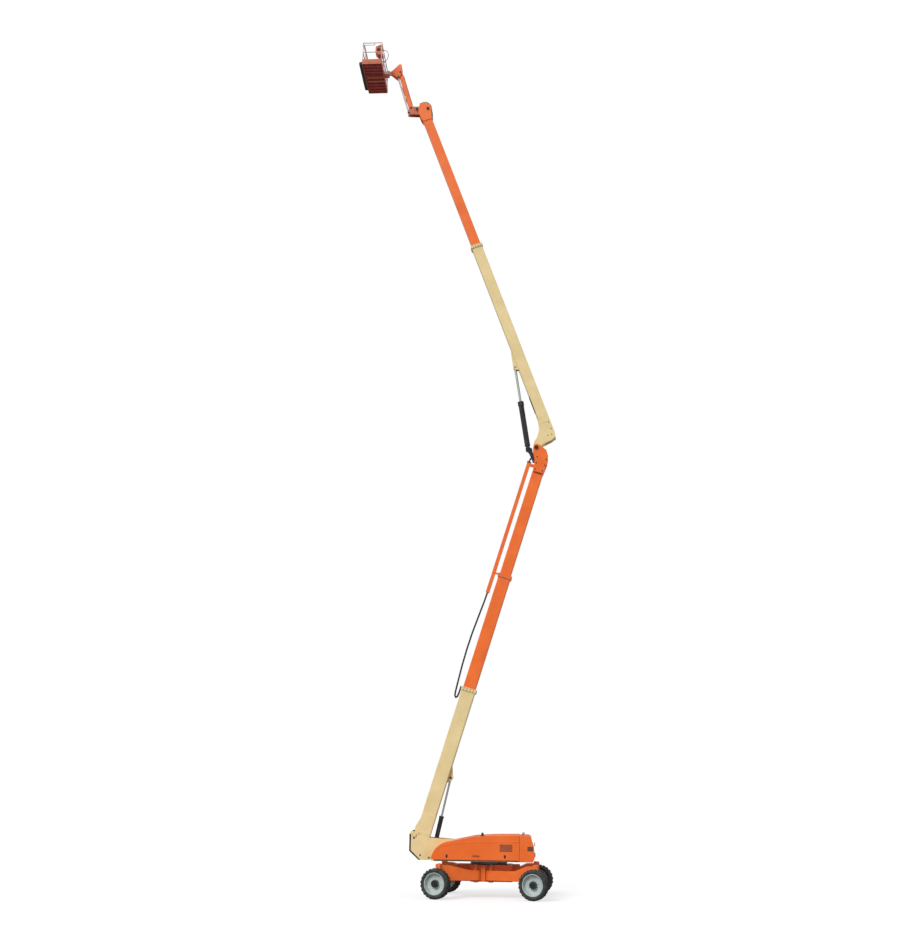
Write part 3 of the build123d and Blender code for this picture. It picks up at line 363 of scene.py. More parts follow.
# The axle arms and their knuckles: welded box arms in orange, swung out on the chassis pins.
# Each ends in a kingpin head, and the knuckle's yoke turns on the kingpin.
ORANGE_DARK = (0.770, 0.130, 0.016)
ORANGE_LIGHT = (0.880, 0.172, 0.026)
KINGPIN_CAP = 0.082

orange_paint = surface("orange_paint", ORANGE_DARK, ORANGE_LIGHT, 0.36, coat=0.12)


def turned(at, angle, axis):
    """A place at a point, turned about one axis."""
    return Matrix.Translation(at) @ Matrix.Rotation(angle, 4, axis)


def round_bar(shape, a, b, radius, end_radius=None, sides=20):
    """A round bar or cone between two points."""
    a, b = Vector(a), Vector(b)
    turn = (b - a).to_track_quat("Z", "Y").to_matrix().to_4x4()
    bmesh.ops.create_cone(shape, cap_ends=True, segments=sides, radius1=radius,
                          radius2=radius if end_radius is None else end_radius, depth=(b - a).length,
                          matrix=Matrix.Translation((a + b) / 2) @ turn)


def pin_cap(shape, at, direction, radius, heads=6, thick=0.012, head=0.026):
    """A pin's cover plate with its ring of bolt heads and a raised middle."""
    at, direction = Vector(at), Vector(direction).normalized()
    face = at + direction * thick
    round_bar(shape, at - direction * 0.004, face, radius, radius * 0.97, 36)
    round_bar(shape, face - direction * 0.002, face + direction * thick * 0.6, radius * 0.34,
              radius * 0.30, 24)
    side = direction.orthogonal().normalized()
    for i in range(heads):
        turn = Matrix.Rotation(math.tau * (i + 0.5) / heads, 3, direction)
        hex_head(shape, face + (turn @ side) * radius * 0.72, direction, head, head * 0.6)


for corner in CORNERS:
    dress(orange_paint, "axle_arm_" + corner, "steering_knuckle_" + corner)
    kingpin = pivot("steer_" + corner)
    caps = bmesh.new()
    for end, way in zip(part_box("steering_knuckle_" + corner), (-1, 1)):
        pin_cap(caps, (kingpin.x, kingpin.y, end.z), (0, 0, way), KINGPIN_CAP, 4, 0.010, 0.024)
    make_piece("kingpin_caps_" + corner, caps, bare_steel, "knuckle_" + corner)

# The chassis: a welded spine with a plate above and below the arms. The turntable's bearing
# is bolted on top of it, with the swing drive's gear teeth round its outside.
CHASSIS_TOP = 1.24
CHASSIS_BOTTOM = 0.600
ROOT_CAP = 0.10
BEARING_RADIUS = 0.720
BEARING_TEETH = 96
TOOTH_HEIGHT = 0.022
TOOTH_HALF = 0.013
TEETH_FROM = CHASSIS_TOP + 0.052
TEETH_TO = CHASSIS_TOP + 0.118
BEARING_BOLTS = 36
BOLT_CIRCLE = BEARING_RADIUS + 0.03
PLATE_HALF = 0.62

dress(orange_paint, "chassis_frame")
dress(black_paint, "swing_bearing")


def boxed(shape, place, corner, opposite, ease=0.0):
    """A plate or block between two opposite corners, with its edges eased."""
    low = Vector([min(pair) for pair in zip(corner, opposite)])
    high = Vector([max(pair) for pair in zip(corner, opposite)])
    size = Matrix.Diagonal((*(high - low), 1))
    made = bmesh.ops.create_cube(shape, size=1.0, matrix=place @ Matrix.Translation((low + high) / 2) @ size)
    if ease:
        edges = list({edge for vert in made["verts"] for edge in vert.link_edges})
        bmesh.ops.bevel(shape, geom=edges, offset=ease, segments=2, affect="EDGES", profile=0.5)


swing_at = pivot("swing")
gear = bmesh.new()
for i in range(BEARING_TEETH):
    turn = turned((swing_at.x, swing_at.y, 0), math.tau * i / BEARING_TEETH, "Z")
    boxed(gear, turn, (BEARING_RADIUS - 0.006, -TOOTH_HALF, TEETH_FROM),
          (BEARING_RADIUS + TOOTH_HEIGHT, TOOTH_HALF, TEETH_TO), 0.003)
make_piece("bearing_gear", gear, bare_steel, "chassis")

fixings = bmesh.new()
for i in range(BEARING_BOLTS):
    angle = math.tau * (i + 0.5) / BEARING_BOLTS
    spot = (swing_at.x + BOLT_CIRCLE * math.cos(angle), BOLT_CIRCLE * math.sin(angle), CHASSIS_TOP)
    if abs(spot[1]) < PLATE_HALF:
        hex_head(fixings, spot, (0, 0, 1), 0.026, 0.020)
for corner in CORNERS:
    root = pivot("swing_arm_" + corner)
    pin_cap(fixings, (root.x, root.y, CHASSIS_TOP), (0, 0, 1), ROOT_CAP)
    pin_cap(fixings, (root.x, root.y, CHASSIS_BOTTOM), (0, 0, -1), ROOT_CAP)
make_piece("chassis_fixings", fixings, bare_steel, "chassis")

# The chassis covers: thin steel lids bolted over the hoses' ports at both ends of the spine,
# and two folded plates on each side that close the space between the arms' roots.
LID_HALF = 0.24
LID_THICK = 0.008
LID_LOW = 0.97
LID_HIGH = 1.19
LID_EDGE = 0.025
SPINE_END = 1.25
# Columns: a side cover's front and rear edge.
SIDE_COVERS = ((1.392, 1.4385), (1.4435, 1.574))
COVER_IN = 0.735
COVER_OUT = 0.800
COVER_LOW = 0.612
COVER_HIGH = 1.228
UPRIGHT = Matrix.Identity(4)


def paired_boxes(shape, place, corner, opposite, ease=0.0):
    """Two boxes, on both sides of the machine or of a boom."""
    for side in (-1, 1):
        near, far = [(x, side * y, z) for x, y, z in (corner, opposite)]
        boxed(shape, place, near, far, ease)


def paired_heads(shape, spots, face, across, height, place=UPRIGHT):
    """Bolt heads at each (x, z), on both sides of the machine."""
    for side in (-1, 1):
        for x, z in spots:
            hex_head(shape, place @ Vector((x, side * face, z)), (0, side, 0), across, height)


covers = bmesh.new()
for end in (-1, 1):
    turn = turned((swing_at.x + end * SPINE_END, 0, 0), 0 if end > 0 else math.pi, "Z")
    boxed(covers, turn, (-0.002, -LID_HALF, LID_LOW), (LID_THICK, LID_HALF, LID_HIGH), 0.003)
    for y in (-LID_HALF + 0.03, 0, LID_HALF - 0.03):
        for z in (LID_LOW + LID_EDGE, LID_HIGH - LID_EDGE):
            hex_head(covers, turn @ Vector((LID_THICK, y, z)), (end, 0, 0), 0.018, 0.011)
for x0, x1 in SIDE_COVERS:
    paired_boxes(covers, UPRIGHT, (x0, COVER_IN, COVER_LOW), (x1, COVER_OUT, COVER_HIGH), 0.006)
    spots = [((x0 + x1) / 2, z) for z in (COVER_LOW + 0.048, COVER_HIGH - 0.048)]
    paired_heads(covers, spots, COVER_OUT, 0.018, 0.011)
make_piece("chassis_covers", covers, orange_paint, "chassis")

# The turntable: two cream steel plates that carry the tower's pivot, with a bent black guard
# in front. Pins with bolted caps hold the tower and its lift cylinder.
CREAM_DARK = (0.700, 0.545, 0.262)
CREAM_LIGHT = (0.800, 0.640, 0.335)
CHEEK_FACE = 0.440
# Columns: along the machine, height.
CHEEK_BOLTS = ((-1.335, 2.498), (-1.335, 2.215), (-1.076, 1.566), (-0.72, 1.47), (-0.60, 1.47))

cream_paint = surface("cream_paint", CREAM_DARK, CREAM_LIGHT, 0.38, coat=0.12)

dress(cream_paint, "turntable_frame")
dress(black_paint, "front_guard")


def paired_caps(shape, spot, face, radius, heads=6, head=0.026, place=UPRIGHT):
    """The two caps of one pin across the machine, at (x, z)."""
    for side in (-1, 1):
        at = place @ Vector((spot[0], side * face, spot[1]))
        pin_cap(shape, at, (0, side, 0), radius, heads, head=head)


def caps_piece(name, stuff, body, caps):
    """A piece made of paired caps. Columns: spot, face, radius, heads, a head's size."""
    shape = bmesh.new()
    for cap in caps:
        paired_caps(shape, *cap)
    make_piece(name, shape, stuff, body)


caps_piece("cheek_caps", cream_paint, "turntable",
           ((pivot("tower_lift").xz, CHEEK_FACE + 0.025, 0.098, 8, 0.026),
            (pivot("tower_barrel_pivot").xz, CHEEK_FACE, 0.085, 6, 0.026)))
fixings = bmesh.new()
paired_heads(fixings, CHEEK_BOLTS, CHEEK_FACE, 0.040, 0.024)
make_piece("cheek_fixings", fixings, black_paint, "turntable")

# The guard's side bands: black steel strips folded round the front edges of the two cheeks.
BAND_FRONT = ((-1.517, 2.376), (-1.517, 1.720), (-1.137, 1.381))
BAND_INNER = ((-1.062, 1.381), (-1.457, 1.745), (-1.457, 2.376))
BAND_LIP = ((-1.1355, 1.378), (-1.521, 1.718), (-1.521, 2.376))


def flat_plate(shape, outline, y0, y1):
    """A flat plate across the machine, from an outline of (x, z)."""
    skin(shape, [[shape.verts.new((x, y, z)) for x, z in outline] for y in (y0, y1)])


bands = bmesh.new()
for side in (-1, 1):
    flat_plate(bands, BAND_FRONT + BAND_INNER, side * (CHEEK_FACE - 0.001), side * (CHEEK_FACE + 0.005))
    flat_plate(bands, BAND_FRONT + BAND_LIP, side * (CHEEK_FACE - 0.039), side * (CHEEK_FACE + 0.005))
make_piece("guard_bands", bands, black_paint, "turntable")

# The deck pads: black rubber blocks set along the edges of the turntable's floor plates,
# under the hoods' lower edges.
DECK_TOP = 1.406
DECK_PADS = (-0.40, 0.35, 1.10, 1.85, 2.60)
PAD_HALF = 0.03
PAD_IN = 1.02
PAD_OUT = 1.116

pads = bmesh.new()
for x in DECK_PADS:
    paired_boxes(pads, UPRIGHT, (x - PAD_HALF, PAD_IN, DECK_TOP - 0.0265),
                 (x + PAD_HALF, PAD_OUT, DECK_TOP + 0.003), 0.002)
make_piece("deck_pads", pads, black_paint, "turntable")

# The hoods: moulded covers over the engine and the tanks, in the machine's orange.
# Each has a rubber lip below, two catches, a grab handle and louvres by the engine.
HOOD_FACE = 1.200
HOOD_LOW = 1.412
LIP_FRONT = -0.46
LIP_REAR = 2.90
LIP_IN = 1.178
LIP_OUT = 1.206
CATCHES = (0.05, 2.35)
CATCH_HEIGHT = 1.60
# The catches' knobs, the handle's feet and its grip. Columns: x from and to, out from and to, radius.
KNOBS = ((0.05, 0.05, 0.008, 0.026, 0.018), (2.35, 2.35, 0.008, 0.026, 0.018),
         (1.08, 1.08, -0.008, 0.036, 0.011), (1.32, 1.32, -0.008, 0.036, 0.011),
         (1.06, 1.34, 0.036, 0.036, 0.011))
LOUVRES = 9
LOUVRE_STEP = 0.0312
LOUVRE_LENGTH = 0.50
LOUVRE_X = 2.15
LOUVRE_Z = 1.78
# Creases on a hood's side. Columns: along the machine, height.
UPPER_CREASE = ((-0.44, 1.72), (-0.20, 1.965), (0.25, 2.045), (1.20, 2.110), (2.905, 2.140))
LOWER_CREASE = ((-0.36, 1.475), (2.905, 1.475))

hood_shell = surface("hood_shell", (0.79, 0.135, 0.016), (0.87, 0.165, 0.024), 0.32, cloud=0.8,
                     grain=90.0, relief=0.04, coat=0.22)

dress(hood_shell, "hood_near", "hood_far")


def ribbon(shape, points, side, face, thick, half):
    """A raised band along a line on a hood's side, with slanted edges."""
    rows = []
    for i, (x, z) in enumerate(points):
        before, after = Vector(points[max(i - 1, 0)]), Vector(points[min(i + 1, len(points) - 1)])
        run = (after - before).normalized()
        up = Vector((-run.y, run.x))
        row = []
        for step, out in ((-half, -0.003), (-half * 0.55, thick), (half * 0.55, thick), (half, -0.003)):
            row.append(shape.verts.new((x + up.x * step, side * (face + out), z + up.y * step)))
        rows.append(row)
    skin(shape, rows)


for side, label in ((-1, "near"), (1, "far")):
    body = label + "_hood"
    crease = bmesh.new()
    ribbon(crease, UPPER_CREASE, side, HOOD_FACE, 0.007, 0.026)
    ribbon(crease, LOWER_CREASE, side, HOOD_FACE, 0.005, 0.016)
    make_piece("hood_creases_" + label, crease, hood_shell, body)
    trim = bmesh.new()
    boxed(trim, UPRIGHT, (LIP_FRONT, side * LIP_IN, HOOD_LOW + 0.001),
          (LIP_REAR, side * LIP_OUT, HOOD_LOW + 0.026), 0.004)
    for i in range(LOUVRES):
        turn = turned((LOUVRE_X, side * HOOD_FACE, LOUVRE_Z + i * LOUVRE_STEP), side * 0.5, "X")
        boxed(trim, turn, (0, -0.003, -0.010), (LOUVRE_LENGTH, 0.007, 0.010), 0.002)
    for x in CATCHES:
        boxed(trim, UPRIGHT, (x - 0.035, side * (HOOD_FACE - 0.004), CATCH_HEIGHT - 0.08),
              (x + 0.035, side * (HOOD_FACE + 0.012), CATCH_HEIGHT + 0.04), 0.006)
    for x0, x1, out0, out1, radius in KNOBS:
        round_bar(trim, (x0, side * (HOOD_FACE + out0), CATCH_HEIGHT),
                  (x1, side * (HOOD_FACE + out1), CATCH_HEIGHT), radius)
    make_piece("hood_trim_" + label, trim, black_paint, body)

# The exhaust's outlet: a short black pipe with a rolled mouth, in a collar on the near hood's top.
EXHAUST_AT = Vector((1.46, -1.05, 2.36))
# Columns: from and to over the hood's top, radius at each.
EXHAUST_STEPS = ((-0.03, 0.014, 0.085, 0.078), (0.0, 0.105, 0.046, 0.046), (0.10, 0.112, 0.052, 0.050))

outlet = bmesh.new()
for low, high, radius, end_radius in EXHAUST_STEPS:
    foot, top = EXHAUST_AT + Vector((0, 0, low)), EXHAUST_AT + Vector((0, 0, high))
    round_bar(outlet, foot, top, radius, end_radius, 36)
make_piece("exhaust_outlet", outlet, black_paint, "near_hood")

# The counterweight: one heavy casting behind the hoods, painted like them.
# Its sides have a slatted vent, and lifting eyes stand in its top.
VENT_LOW = Vector((3.245, 0, 1.80))
VENT_HIGH = Vector((3.470, 0, 1.97))
VENT_SLATS = 6
WEIGHT_FACE = 1.200
VENT_FACE = WEIGHT_FACE + 0.004
# Columns: height, and how far the rear face lies inside the casting's end there.
REAR_BOLTS = ((1.62, 0.002), (2.02, 0.012))
EYE_AT = (3.08, 0.80)
EYE_RADIUS = 0.038
EYE_BAR = 0.011
EYE_STEPS = 28
EYE_SIDES = 10

cast_paint = surface("cast_paint", (0.76, 0.128, 0.016), (0.86, 0.165, 0.026), 0.42, cloud=2.0,
                     grain=60.0, relief=0.16, coat=0.08)
# The vent's flat panel and its slats are dark brown: painted shade, standing in for the shaded recess behind
# the slats.
vent_shade_paint = surface("vent_shade_paint", (0.10, 0.030, 0.018), (0.24, 0.070, 0.036), 0.5, cloud=12.0)

dress(cast_paint, "counterweight")

vents = bmesh.new()
paired_boxes(vents, UPRIGHT, (VENT_LOW.x, WEIGHT_FACE - 0.004, VENT_LOW.z),
             (VENT_HIGH.x, VENT_FACE, VENT_HIGH.z), 0.002)
for side in (-1, 1):
    for i in range(VENT_SLATS):
        z = VENT_LOW.z + (VENT_HIGH.z - VENT_LOW.z) * (i + 0.5) / VENT_SLATS
        turn = turned((VENT_LOW.x, side * VENT_FACE, z), side * 0.6, "X")
        boxed(vents, turn, (0.008, -0.003, -0.010), (VENT_HIGH.x - VENT_LOW.x - 0.008, 0.006, 0.010), 0.002)
make_piece("counterweight_vents", vents, vent_shade_paint, "turntable")

weight_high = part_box("counterweight")[1]
tube = [math.tau * j / EYE_SIDES for j in range(EYE_SIDES)]
eye_profile = [(EYE_BAR * math.sin(turn), EYE_RADIUS + EYE_BAR * math.cos(turn)) for turn in tube]
fixings = bmesh.new()
for side in (-1, 1):
    for z, inset in REAR_BOLTS:
        for y in (0.55, 1.02):
            hex_head(fixings, (weight_high.x - inset, side * y, z), (1, 0, 0), 0.055, 0.030)
    eye = Vector((EYE_AT[0], side * EYE_AT[1], weight_high.z))
    round_bar(fixings, eye - Vector((0, 0, 0.02)), eye + Vector((0, 0, 0.018)), 0.05, 0.045, 28)
    spin_profile(fixings, eye_profile, EYE_STEPS, turned(eye + Vector((0, 0, 0.055)), math.pi / 2, "Z"))
make_piece("counterweight_fixings", fixings, bare_steel, "turntable")

# The engine and the tank, under the hoods: a cast iron block, and a tank of black sheet steel.
# Both are bolted down on the turntable's floor.
engine_metal = surface("engine_metal", (0.03, 0.03, 0.032), (0.11, 0.11, 0.115), 0.6, cloud=8.0, relief=0.3)

dress(engine_metal, "engine_block")
dress(black_paint, "fuel_tank")

# The tower boom: three welded sections of box tube that slide in each other.
# Bolts hold the wear pads in each section's collar, and weld beads run along the base's seams.
TOWER_AXIS = -0.320
TOWER_DEPTH = 0.580
TOWER_WIDTH = 0.460
SECTION_STEP = 0.050
COLLAR_RISE = 0.035
COLLAR_LENGTH = 0.150
TOWER_ENDS = (6.240, 11.300)
TOWER_SEAM_FROM = 0.95
# A plug near the base's end, at (x, z), and the cylinder's pin on the base's lug, along and off the boom.
TOWER_PLUG = (0.7586, 8.139)
TOWER_LUG = (2.550, -0.700)
LUG_FACE = 0.106

dress(cream_paint, "tower_base")
dress(orange_paint, "tower_mid", "tower_fly")


def boom_place(foot, slide, side):
    """X along a boom from its pivot, Y across the machine, Z to the boom's upper face."""
    return placed(pivot(foot), Vector(joints[slide]["axis"]).normalized(), Vector((0, side, 0)))


def collar_heads(shape, place, end, width, depth, middle, height=0.016):
    """Pad bolts on the four faces of a collar, two rows of them."""
    half_width, half_depth = width / 2 + COLLAR_RISE, depth / 2 + COLLAR_RISE
    turn = place.to_3x3()
    for x in (end - COLLAR_LENGTH * 0.75, end - COLLAR_LENGTH * 0.3):
        for share in (-0.62, -0.22, 0.22, 0.62):
            for side in (-1, 1):
                spot = place @ Vector((x, share * half_width, middle + side * half_depth))
                hex_head(shape, spot, turn @ Vector((0, 0, side)), 0.024, height)
                spot = place @ Vector((x, side * half_width, middle + share * half_depth))
                hex_head(shape, spot, turn @ Vector((0, side, 0)), 0.024, height)


def seam_beads(name, body, place, start, end, width, depth, middle):
    """Weld beads along the four edges of a box tube, up to its collar."""
    beads = bmesh.new()
    stop = end - COLLAR_LENGTH - 0.01
    for side in (-1, 1):
        for face in (-1, 1):
            y = side * (width / 2 - 0.002)
            z = middle + face * (depth / 2 - 0.028)
            round_bar(beads, place @ Vector((start, y, z)), place @ Vector((stop, y, z)), 0.0055, sides=8)
    make_piece(name, beads, cream_paint, body)


tower = boom_place("tower_lift", "tower_mid_slide", 1)
seam_beads("seams_tower_base", "tower_base_section", tower, TOWER_SEAM_FROM, TOWER_ENDS[0],
           TOWER_WIDTH, TOWER_DEPTH, TOWER_AXIS)
caps_piece("tower_caps", black_paint, "tower_base_section",
           ((TOWER_PLUG, TOWER_WIDTH / 2, 0.055, 4, 0.018), (TOWER_LUG, LUG_FACE, 0.045, 3, 0.018, tower)))
for i, (body, height) in enumerate((("tower_base_section", 0.016), ("tower_mid_section", 0.007))):
    heads = bmesh.new()
    collar_heads(heads, tower, TOWER_ENDS[i], TOWER_WIDTH - i * SECTION_STEP, TOWER_DEPTH - i * SECTION_STEP,
                 TOWER_AXIS, height)
    make_piece("pad_bolts_" + body, heads, bare_steel, body)

# The hose carrier: a chain of black plastic links beside the tower, which runs up into a
# conduit of two strips on the fly section. Screws hold the strips.
# The links' line. Columns: along the boom, out from it.
CARRIER_ROUTE = ((11.290, 0.184), (10.500, 0.186), (9.900, 0.205), (9.200, 0.245), (8.500, 0.282),
                 (7.800, 0.290), (7.100, 0.272), (6.500, 0.238), (5.980, 0.204), (5.790, 0.178),
                 (5.720, 0.120), (5.780, 0.062), (5.960, 0.042), (6.200, 0.042))
CARRIER_HALF = 0.030
LINK_LENGTH = 0.092
LINK_HALF = LINK_LENGTH * 0.44
LINK_RISE = 0.030
CONDUIT_FROM = 10.45
CONDUIT_TO = 16.40
CONDUIT_FACE = 0.053
STRIP_SCREWS = 22
SCREW_LINE = 0.19

carrier_plastic = surface("carrier_plastic", BLACK_DARK, (0.03, 0.03, 0.032), 0.5, cloud=20.0)
dress(carrier_plastic, "hose_carrier")
dress(orange_paint, "hose_conduit")

links = bmesh.new()
left_over = 0.0
for (x0, z0), (x1, z1) in zip(CARRIER_ROUTE, CARRIER_ROUTE[1:]):
    run = math.hypot(x1 - x0, z1 - z0)
    tilt = math.atan2(z1 - z0, x1 - x0)
    spot = left_over
    while spot < run:
        share = spot / run
        middle = Vector((x0 + (x1 - x0) * share, 0, z0 + (z1 - z0) * share))
        turn = tower @ turned(middle, -tilt, "Y")
        paired_boxes(links, turn, (-LINK_HALF, CARRIER_HALF - 0.002, -LINK_RISE),
                     (LINK_HALF, CARRIER_HALF + 0.006, LINK_RISE), 0.004)
        spot += LINK_LENGTH
    left_over = spot - run
make_piece("carrier_links", links, carrier_plastic, "tower_mid_section")

screws = bmesh.new()
strip = CONDUIT_TO - CONDUIT_FROM
screw_spots = [(CONDUIT_FROM + strip * (i + 0.5) / STRIP_SCREWS, SCREW_LINE) for i in range(STRIP_SCREWS)]
paired_heads(screws, screw_spots, CONDUIT_FACE, 0.020, 0.010, place=tower)
make_piece("conduit_screws", screws, bare_steel, "tower_fly_section")

# The knuckle: two welded plates at the tower's top. They hold the main boom's pivot, and a
# black bracket on their front holds the foot of its lift cylinder.
KNUCKLE_FACE = 0.280
BRACKET_FACE = 0.122
# Columns: along the tower, out from it.
KNUCKLE_BOLTS = ((16.18, -0.50), (16.18, -0.18), (16.46, -0.53), (16.46, -0.14), (16.74, -0.52),
                 (16.74, -0.10))

dress(orange_paint, "knuckle")
dress(black_paint, "cylinder_bracket")

fixings = bmesh.new()
paired_caps(fixings, pivot("main_lift").xz, KNUCKLE_FACE + 0.020, 0.095, heads=8)
paired_caps(fixings, pivot("main_barrel_pivot").xz, BRACKET_FACE, 0.072)
paired_heads(fixings, KNUCKLE_BOLTS, KNUCKLE_FACE, 0.034, 0.022, place=tower)
make_piece("knuckle_fixings", fixings, black_paint, "tower_fly_section")

# The hoses' way in at the conduit's upper end: a black steel mouth bolted to the strips, a
# stay from it to the bracket, and four rubber hoses that bend round into the knuckle.
MOUTH_LOW = (16.440, -0.062, 0.096)
MOUTH_HIGH = (16.492, 0.062, 0.278)
STAY_FOOT = (3.400, -0.020, 18.120)
STAY_HEAD = (3.575, -0.020, 18.440)
# Columns: along the tower, across it, out from it.
KNUCKLE_ROUTE = ((16.36, 0.0, 0.215), (16.62, 0.004, 0.215), (16.80, 0.012, 0.10), (16.88, 0.012, -0.10),
                 (17.02, 0.010, -0.22))

line_rubber = surface("line_rubber", (0.010, 0.011, 0.012), (0.030, 0.032, 0.033), 0.55, cloud=40.0)


def soft_line(name, points, radius, body, stuff=line_rubber):
    """A hose or hard line through a few points, on its body."""
    curve = bpy.data.curves.new(name, "CURVE")
    curve.dimensions = "3D"
    curve.bevel_depth = radius
    curve.bevel_resolution = 3
    spline = curve.splines.new("NURBS")
    spline.points.add(len(points) - 1)
    for point, at in zip(spline.points, points):
        point.co = (*at, 1)
    spline.order_u = 3
    spline.use_endpoint_u = True
    spline.resolution_u = 8
    return mount(name, curve, stuff, body)


mouth = bmesh.new()
boxed(mouth, tower, MOUTH_LOW, MOUTH_HIGH, 0.006)
round_bar(mouth, STAY_FOOT, STAY_HEAD, 0.026)
make_piece("conduit_mouth", mouth, black_paint, "tower_fly_section")
for i, shift in enumerate((-0.045, -0.015, 0.015, 0.045)):
    route = [tower @ Vector((x, y + shift, z)) for x, y, z in KNUCKLE_ROUTE]
    soft_line("knuckle_hose_%d" % (i + 1), route, 0.012, "tower_fly_section")

# The lift cylinders: black barrels and polished rods. Each barrel has a gland nut at its
# mouth, two ports and a hard line between them.
# Columns: label, foot joint, slide joint, barrel's length and radius, its ports' turn in degrees.
CYLINDERS = (("tower", "tower_barrel_pivot", "tower_rod_slide", 1.560, 0.090, 90),
             ("main", "main_barrel_pivot", "main_rod_slide", 2.260, 0.120, 90),
             ("jib", "jib_barrel_pivot", "jib_rod_slide", 0.930, 0.042, 0))

rod_chrome = surface("rod_chrome", (0.40, 0.47, 0.46), (0.56, 0.62, 0.60), 0.25, cloud=12.0, metallic=0.75,
                     relief=0.01, spread=0.05)
cylinder_paint = surface("cylinder_paint", (0.012, 0.013, 0.014), (0.030, 0.032, 0.034), 0.42, cloud=3.0,
                         coat=0.1)


def dress_cylinder(label, foot, slide, length, radius, port_turn):
    dress(cylinder_paint, label + "_cylinder_barrel")
    dress(rod_chrome, label + "_cylinder_rod")
    place = boom_place(foot, slide, 1) @ Matrix.Rotation(math.radians(port_turn), 4, "X")
    fittings = bmesh.new()
    inner, nut_out, band_out = radius * 0.97, radius * 1.10, radius * 1.04
    nut, band = length - radius * 0.9, radius * 1.5
    spin_profile(fittings, [(nut, inner), (nut, nut_out), (length - 0.012, nut_out),
                            (length - 0.004, radius * 1.06), (length - 0.004, inner)], 36, place)
    spin_profile(fittings, [(band, inner), (band, band_out), (band + radius * 0.25, band_out),
                            (band + radius * 0.25, inner)], 36, place)
    port_top = radius * 1.32
    for x in (radius * 2.2, length - radius * 1.8):
        boxed(fittings, place, (x - radius * 0.3, -radius * 0.26, radius * 0.85),
              (x + radius * 0.3, radius * 0.26, port_top), radius * 0.05)
        hex_head(fittings, place @ Vector((x, 0, port_top)), place.to_3x3() @ Vector((0, 0, 1)),
                 radius * 0.32, radius * 0.2)
    make_piece(label + "_cylinder_fittings", fittings, cylinder_paint, label + "_barrel")
    z = radius * 1.14
    route = ((radius * 2.5, 0, z), (radius * 3.2, radius * 0.3, z * 0.97),
             (length - radius * 3.0, radius * 0.3, z * 0.97), (length - radius * 2.1, 0, z))
    soft_line(label + "_cylinder_line", [place @ Vector(spot) for spot in route], max(radius * 0.09, 0.006),
              label + "_barrel")


for cylinder in CYLINDERS:
    dress_cylinder(*cylinder)

# The main boom: a welded cream base with a heel round the knuckle's pin, and an orange fly
# section that slides in it. Bolted covers close the heel, and a rubber strip lies under it.
MAIN_AXIS = 0.780
MAIN_DEPTH = 0.480
MAIN_WIDTH = 0.400
MAIN_BASE_END = 10.350
MAIN_SEAM_FROM = 1.52
MAIN_LUG = (3.970, 0.425)
MAIN_LUG_FACE = 0.116
HEEL_FACE = 0.222
HEEL_BOLTS = ((0.36, 0.86), (0.36, 0.68), (0.62, 0.92), (0.95, 0.92))
RUB_STRIP = (1.62, 2.40)
RUB_HALF = 0.15

dress(cream_paint, "main_base")
dress(orange_paint, "main_fly")

main = boom_place("main_lift", "main_fly_slide", -1)
seam_beads("seams_main_base", "main_base_section", main, MAIN_SEAM_FROM, MAIN_BASE_END,
           MAIN_WIDTH, MAIN_DEPTH, MAIN_AXIS)

fixings = bmesh.new()
collar_heads(fixings, main, MAIN_BASE_END, MAIN_WIDTH, MAIN_DEPTH, MAIN_AXIS)
paired_caps(fixings, MAIN_LUG, MAIN_LUG_FACE, 0.045, heads=3, head=0.018, place=main)
paired_heads(fixings, HEEL_BOLTS, HEEL_FACE, 0.030, 0.018, place=main)
make_piece("main_fixings", fixings, bare_steel, "main_base_section")

covers = bmesh.new()
paired_boxes(covers, main, (0.98, HEEL_FACE - 0.004, 0.66), (1.34, HEEL_FACE + 0.010, 0.86), 0.006)
make_piece("heel_covers", covers, cream_paint, "main_base_section")

strip = bmesh.new()
underside = MAIN_AXIS - MAIN_DEPTH / 2
boxed(strip, main, (RUB_STRIP[0], -RUB_HALF, underside - 0.012), (RUB_STRIP[1], RUB_HALF, underside + 0.002),
      0.004)
make_piece("main_rub_strip", strip, line_rubber, "main_base_section")

# The jib: an arm with a link on each side, between a bracket on the boom's head and the
# platform's head. Bolted caps close its pins, and hoses loop over the boom's head to it.
RAIL_DARK = (0.52, 0.37, 0.37)
RAIL_LIGHT = (0.70, 0.53, 0.53)
BRACKET_OUT = 0.127
HEAD_FACE = 0.245
HEAD_HOSE_SIDE = 0.191
# Columns: along the main boom, up from it.
HEAD_ROUTE = ((17.57, 1.010), (17.62, 1.047), (17.84, 1.112), (18.13, 1.190), (18.37, 1.118), (18.490, 0.950),
              (18.482, 0.720), (18.455, 0.690))
JIB_HOSE_RISE = 0.114
JIB_HOSE_STATIONS = (0.20, 0.40, 1.10, 1.80, 1.93)
STRAP_STATIONS = (0.42, 1.08, 1.78)

# The bracket's paint is a darker, browner orange than the rest of the machine: painted shade, for the shade
# it sits in under the boom's head.
bracket_shade_paint = surface("bracket_shade_paint", (0.40, 0.095, 0.040), (0.56, 0.140, 0.064), 0.42, cloud=5.0)
rail_paint = surface("rail_paint", RAIL_DARK, RAIL_LIGHT, 0.42, cloud=3.0, coat=0.08)
dress(bracket_shade_paint, "jib_bracket")
dress(orange_paint, "jib_arm", "platform_head")
dress(rail_paint, "jib_link", "rotator")

jib_root = pivot("jib_lift")
jib_tip = pivot("head_level")
boom_head = pivot("bracket_level")
link_tip = jib_tip + Vector((-0.100, 0, -0.265))
bracket_middle = boom_head + Vector((-0.50, 0, 0.02))

